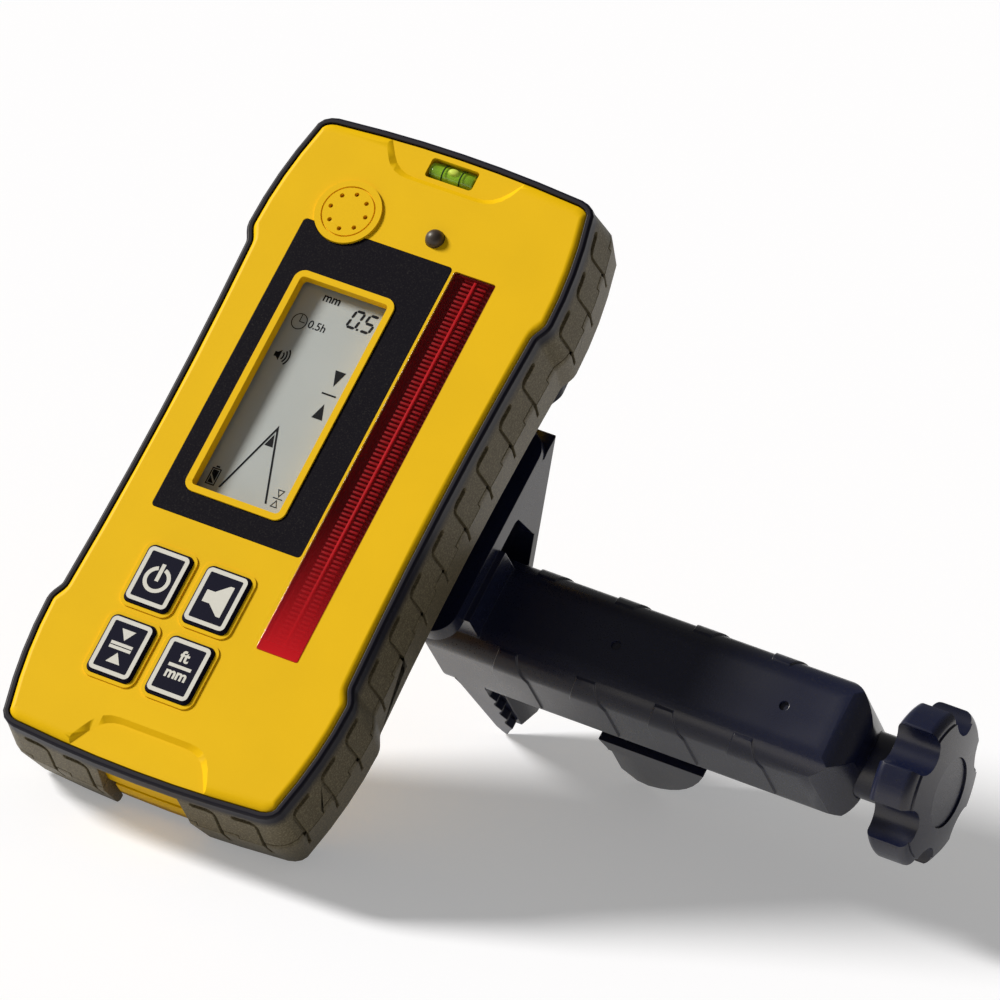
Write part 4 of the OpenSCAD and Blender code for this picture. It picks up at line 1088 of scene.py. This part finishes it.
class RECEIVER_OT_level(bpy.types.Operator):
    """Level vial with its rings and bubble, sounder and light sensor"""

    bl_idname = "receiver.level"
    bl_label = "Level and sounder"

    liquid_bore = 0.8  # radius of the liquid, as a share of the tube's
    liquid_share = 0.94  # length of the liquid, as a share of the tube's
    bubble_flat = 0.8  # height of the bubble, as a share of its width
    bubble_rise = 0.75  # distance of the bubble from the tube's axis, as a share of the tube's radius
    bubble_lean = math.radians(-22)

    def execute(self, context):
        size = sizes()
        low, high = span("level_vial")
        radius, half = (high.z - low.z) / 2, (high.x - low.x) / 2
        centre = FACE @ Matrix.Translation((low + high) / 2)
        turned = centre @ Matrix.Rotation(math.radians(90), 4, "Y")
        softened("level_vial", "vial_tube", size.fine_edge, vial_glass(), rounds=3)
        self.liquid(size, turned, radius, half)
        self.rings(size, turned, radius)
        self.bubble(size, centre, radius)
        black = dark_moulding()
        softened("light_sensor", "light_dome", size.fine_edge, black)
        coat_nodes(black, "buzzer")
        return {"FINISHED"}

    def liquid(self, size, turned, radius, half):
        piece = started(
            "vial_spirit", bpy.ops.mesh.primitive_cylinder_add,
            vertices=48, radius=radius * self.liquid_bore, depth=2 * half * self.liquid_share,
        )
        with Editing(piece):
            bpy.ops.mesh.bevel(offset=size.liquid_edge, segments=3, affect="EDGES", clamp_overlap=True)
        smooth(settle(piece, turned))
        dress(piece, "receiver", vial_liquid())

    def rings(self, size, turned, radius):
        """Two dark bands printed round the tube."""
        lines = []
        for side in (-1, 1):
            line = started(
                "ring_line", bpy.ops.mesh.primitive_cylinder_add,
                vertices=64, radius=radius, depth=size.vial_ring, end_fill_type="NOTHING",
                location=(0, 0, side * size.vial_lines),
            )
            lines.append(modified(line, "SOLIDIFY", thickness=2 * size.vial_print, offset=0))
        piece = settle(joined("vial_lines", lines), turned)
        smooth(piece)
        dress(piece, "receiver", printed("vial_line", colours().vial_line))

    def bubble(self, size, centre, radius):
        """Air bubble against the top of the tube."""
        piece = started(
            "vial_bubble", bpy.ops.mesh.primitive_uv_sphere_add,
            segments=32, ring_count=16, radius=size.bubble_width / 2,
        )
        with Editing(piece):
            stretch = size.bubble_length / size.bubble_width
            bpy.ops.transform.resize(value=(stretch, 1.0, self.bubble_flat))
        lean = Matrix.Rotation(self.bubble_lean, 4, "X")
        rise = Matrix.Translation((0, 0, radius * self.bubble_rise))
        smooth(settle(piece, centre @ lean @ rise), 80)
        dress(piece, "receiver", printed("vial_air", colours().bubble))


class RECEIVER_OT_clamp(bpy.types.Operator):
    """Handle with its fixed jaw, pad and moving jaw, and the knob"""

    bl_idname = "receiver.clamp"
    bl_label = "Clamp"

    def execute(self, context):
        size = sizes()
        nylon = clamp_nylon()
        softened(
            "clamp_body", "handle_moulding", size.clamp_edge, nylon, full=True, merge=0.07,
        )
        softened("moving_jaw", "jaw_moulding", size.clamp_edge, nylon, rounds=3)
        softened("grip_pad", "pad_moulding", size.clamp_edge, nylon, rounds=3)
        softened("star_knob", "knob_moulding", size.knob_edge, nylon, rounds=4)
        for node in ("knob_cap", "screw_bushing", "mount_screw"):
            softened(node, node + "_moulding", size.fine_edge, nylon)
        return {"FINISHED"}


class RECEIVER_OT_metal(bpy.types.Operator):
    """Screws, pins, contacts, nut and insert"""

    bl_idname = "receiver.metal"
    bl_label = "Metal pieces"

    def execute(self, context):
        steel = turned_metal("plain_steel", colours().steel, 0.28)
        brass = turned_metal("turned_brass", colours().brass, 0.25)
        coat_nodes(steel, "housing_screws", "clamp_screw", "screw_clip", "thrust_washer")
        coat_nodes(steel, "door_hinge_pin", "battery_contacts")
        coat_nodes(brass, "mount_insert", "jaw_nut")
        return {"FINISHED"}


class RECEIVER_OT_inside(bpy.types.Operator):
    """Boards, sensors and cells inside the housing"""

    bl_idname = "receiver.inside"
    bl_label = "Inside"

    def execute(self, context):
        coat_nodes(circuit_board(), "main_board", "sensor_board")
        coat_nodes(diode_resin(), "photodiodes")
        coat_nodes(cell_jacket(), "battery_cells")
        return {"FINISHED"}


class RECEIVER_OT_stage(bpy.types.Operator):
    """Camera, floor, sky and main lamp"""

    bl_idname = "receiver.stage"
    bl_label = "Stage"

    def execute(self, context):
        stage = context.scene.receiver_stage
        self.camera(stage)
        self.floor(stage)
        self.sky(stage)
        self.lamp(stage)
        context.scene.view_settings.view_transform = "Standard"
        return {"FINISHED"}

    def camera(self, stage):
        eye = FACE @ Vector(stage.camera_place)
        back = (eye - FACE @ Vector(stage.camera_aim)).normalized()
        up = FACE.to_3x3() @ Vector(stage.camera_up)
        right = up.cross(back).normalized()
        turn = Matrix((right, back.cross(right), back)).transposed().to_4x4()
        data = bpy.data.cameras.new("camera")
        data.lens = stage.lens
        data.sensor_width = 36
        data.clip_start = 0.05
        data.clip_end = 50
        camera = bpy.data.objects.new("camera", data)
        camera.matrix_world = Matrix.Translation(eye) @ turn
        bpy.context.scene.collection.objects.link(camera)
        bpy.context.scene.camera = camera

    def floor(self, stage):
        place = (0, 0, -stage.floor_drop)
        floor = started("floor", bpy.ops.mesh.primitive_plane_add, size=stage.floor_size, location=place)
        finish = new_finish("floor")
        dull = finish.node("ShaderNodeBsdfDiffuse", None, {"Color": (*colours().floor, 1.0)})
        glow = finish.node("ShaderNodeEmission", None, {"Color": (1, 1, 1, 1), "Strength": stage.glow})
        both = finish.node("ShaderNodeAddShader", None, {0: dull, 1: glow})
        shade = finish.node("ShaderNodeMixShader", None, {0: self.seen(finish), 1: dull, 2: both})
        finish.node("ShaderNodeOutputMaterial", None, {"Surface": shade})
        coat(floor, finish.owner)

    @staticmethod
    def seen(finish):
        """One for a ray from the camera, or one that glances off or passes through something."""
        camera, glossy, through = [
            finish.node("ShaderNodeLightPath", output=f"Is {kind} Ray")
            for kind in ("Camera", "Glossy", "Transmission")
        ]
        return camera.highest(glossy).highest(through)

    def sky(self, stage):
        """Even light that fades from the horizon upwards."""
        finish = Finish(bpy.data.worlds.new("sky"))
        way = finish.node("ShaderNodeTexCoord", output="Generated")
        height = finish.node("ShaderNodeSeparateXYZ", None, {0: way}, output=2)
        low, high = [
            finish.node("ShaderNodeBackground", None, {"Color": (1, 1, 1, 1), "Strength": strength})
            for strength in (stage.sky_low, stage.sky_high)
        ]
        light = finish.node("ShaderNodeMixShader", None, {0: height, 1: low, 2: high})
        finish.node("ShaderNodeOutputWorld", None, {"Surface": light})
        bpy.context.scene.world = finish.owner

    def lamp(self, stage):
        data = bpy.data.lights.new("key_lamp", "SUN")
        data.energy = stage.key_strength
        data.angle = stage.key_angle
        lamp = bpy.data.objects.new("key_lamp", data)
        way = Vector(stage.key_way)
        lamp.location = way
        lamp.rotation_mode = "QUATERNION"
        lamp.rotation_quaternion = way.to_track_quat("Z", "Y")
        bpy.context.scene.collection.objects.link(lamp)


OPERATORS = (
    RECEIVER_OT_stage, RECEIVER_OT_housing, RECEIVER_OT_bumpers, RECEIVER_OT_display, RECEIVER_OT_sensor,
    RECEIVER_OT_keys, RECEIVER_OT_level, RECEIVER_OT_clamp, RECEIVER_OT_metal, RECEIVER_OT_inside,
)


class RECEIVER_PT_panel(bpy.types.Panel):
    """Lists the receiver's pieces and settings"""

    bl_idname = "RECEIVER_PT_panel"
    bl_label = "Laser receiver"
    bl_space_type = "VIEW_3D"
    bl_region_type = "UI"
    bl_category = "Receiver"

    def draw(self, context):
        for operator in OPERATORS:
            self.layout.operator(operator.bl_idname)
        for name, group in GROUPS.items():
            settings = getattr(context.scene, name)
            for key in group.__annotations__:
                self.layout.prop(settings, key)


def register():
    for group in GROUPS.values():
        bpy.utils.register_class(group)
    for operator in OPERATORS:
        bpy.utils.register_class(operator)
    bpy.utils.register_class(RECEIVER_PT_panel)
    for name, group in GROUPS.items():
        setattr(bpy.types.Scene, name, PointerProperty(type=group))


def unregister():
    for name in GROUPS:
        delattr(bpy.types.Scene, name)
    bpy.utils.unregister_class(RECEIVER_PT_panel)
    for operator in reversed(OPERATORS):
        bpy.utils.unregister_class(operator)
    for group in reversed(GROUPS.values()):
        bpy.utils.unregister_class(group)


def main():
    register()
    for operator in OPERATORS:
        module, name = operator.bl_idname.split(".")
        getattr(getattr(bpy.ops, module), name)()


if __name__ == "__main__":
    main()
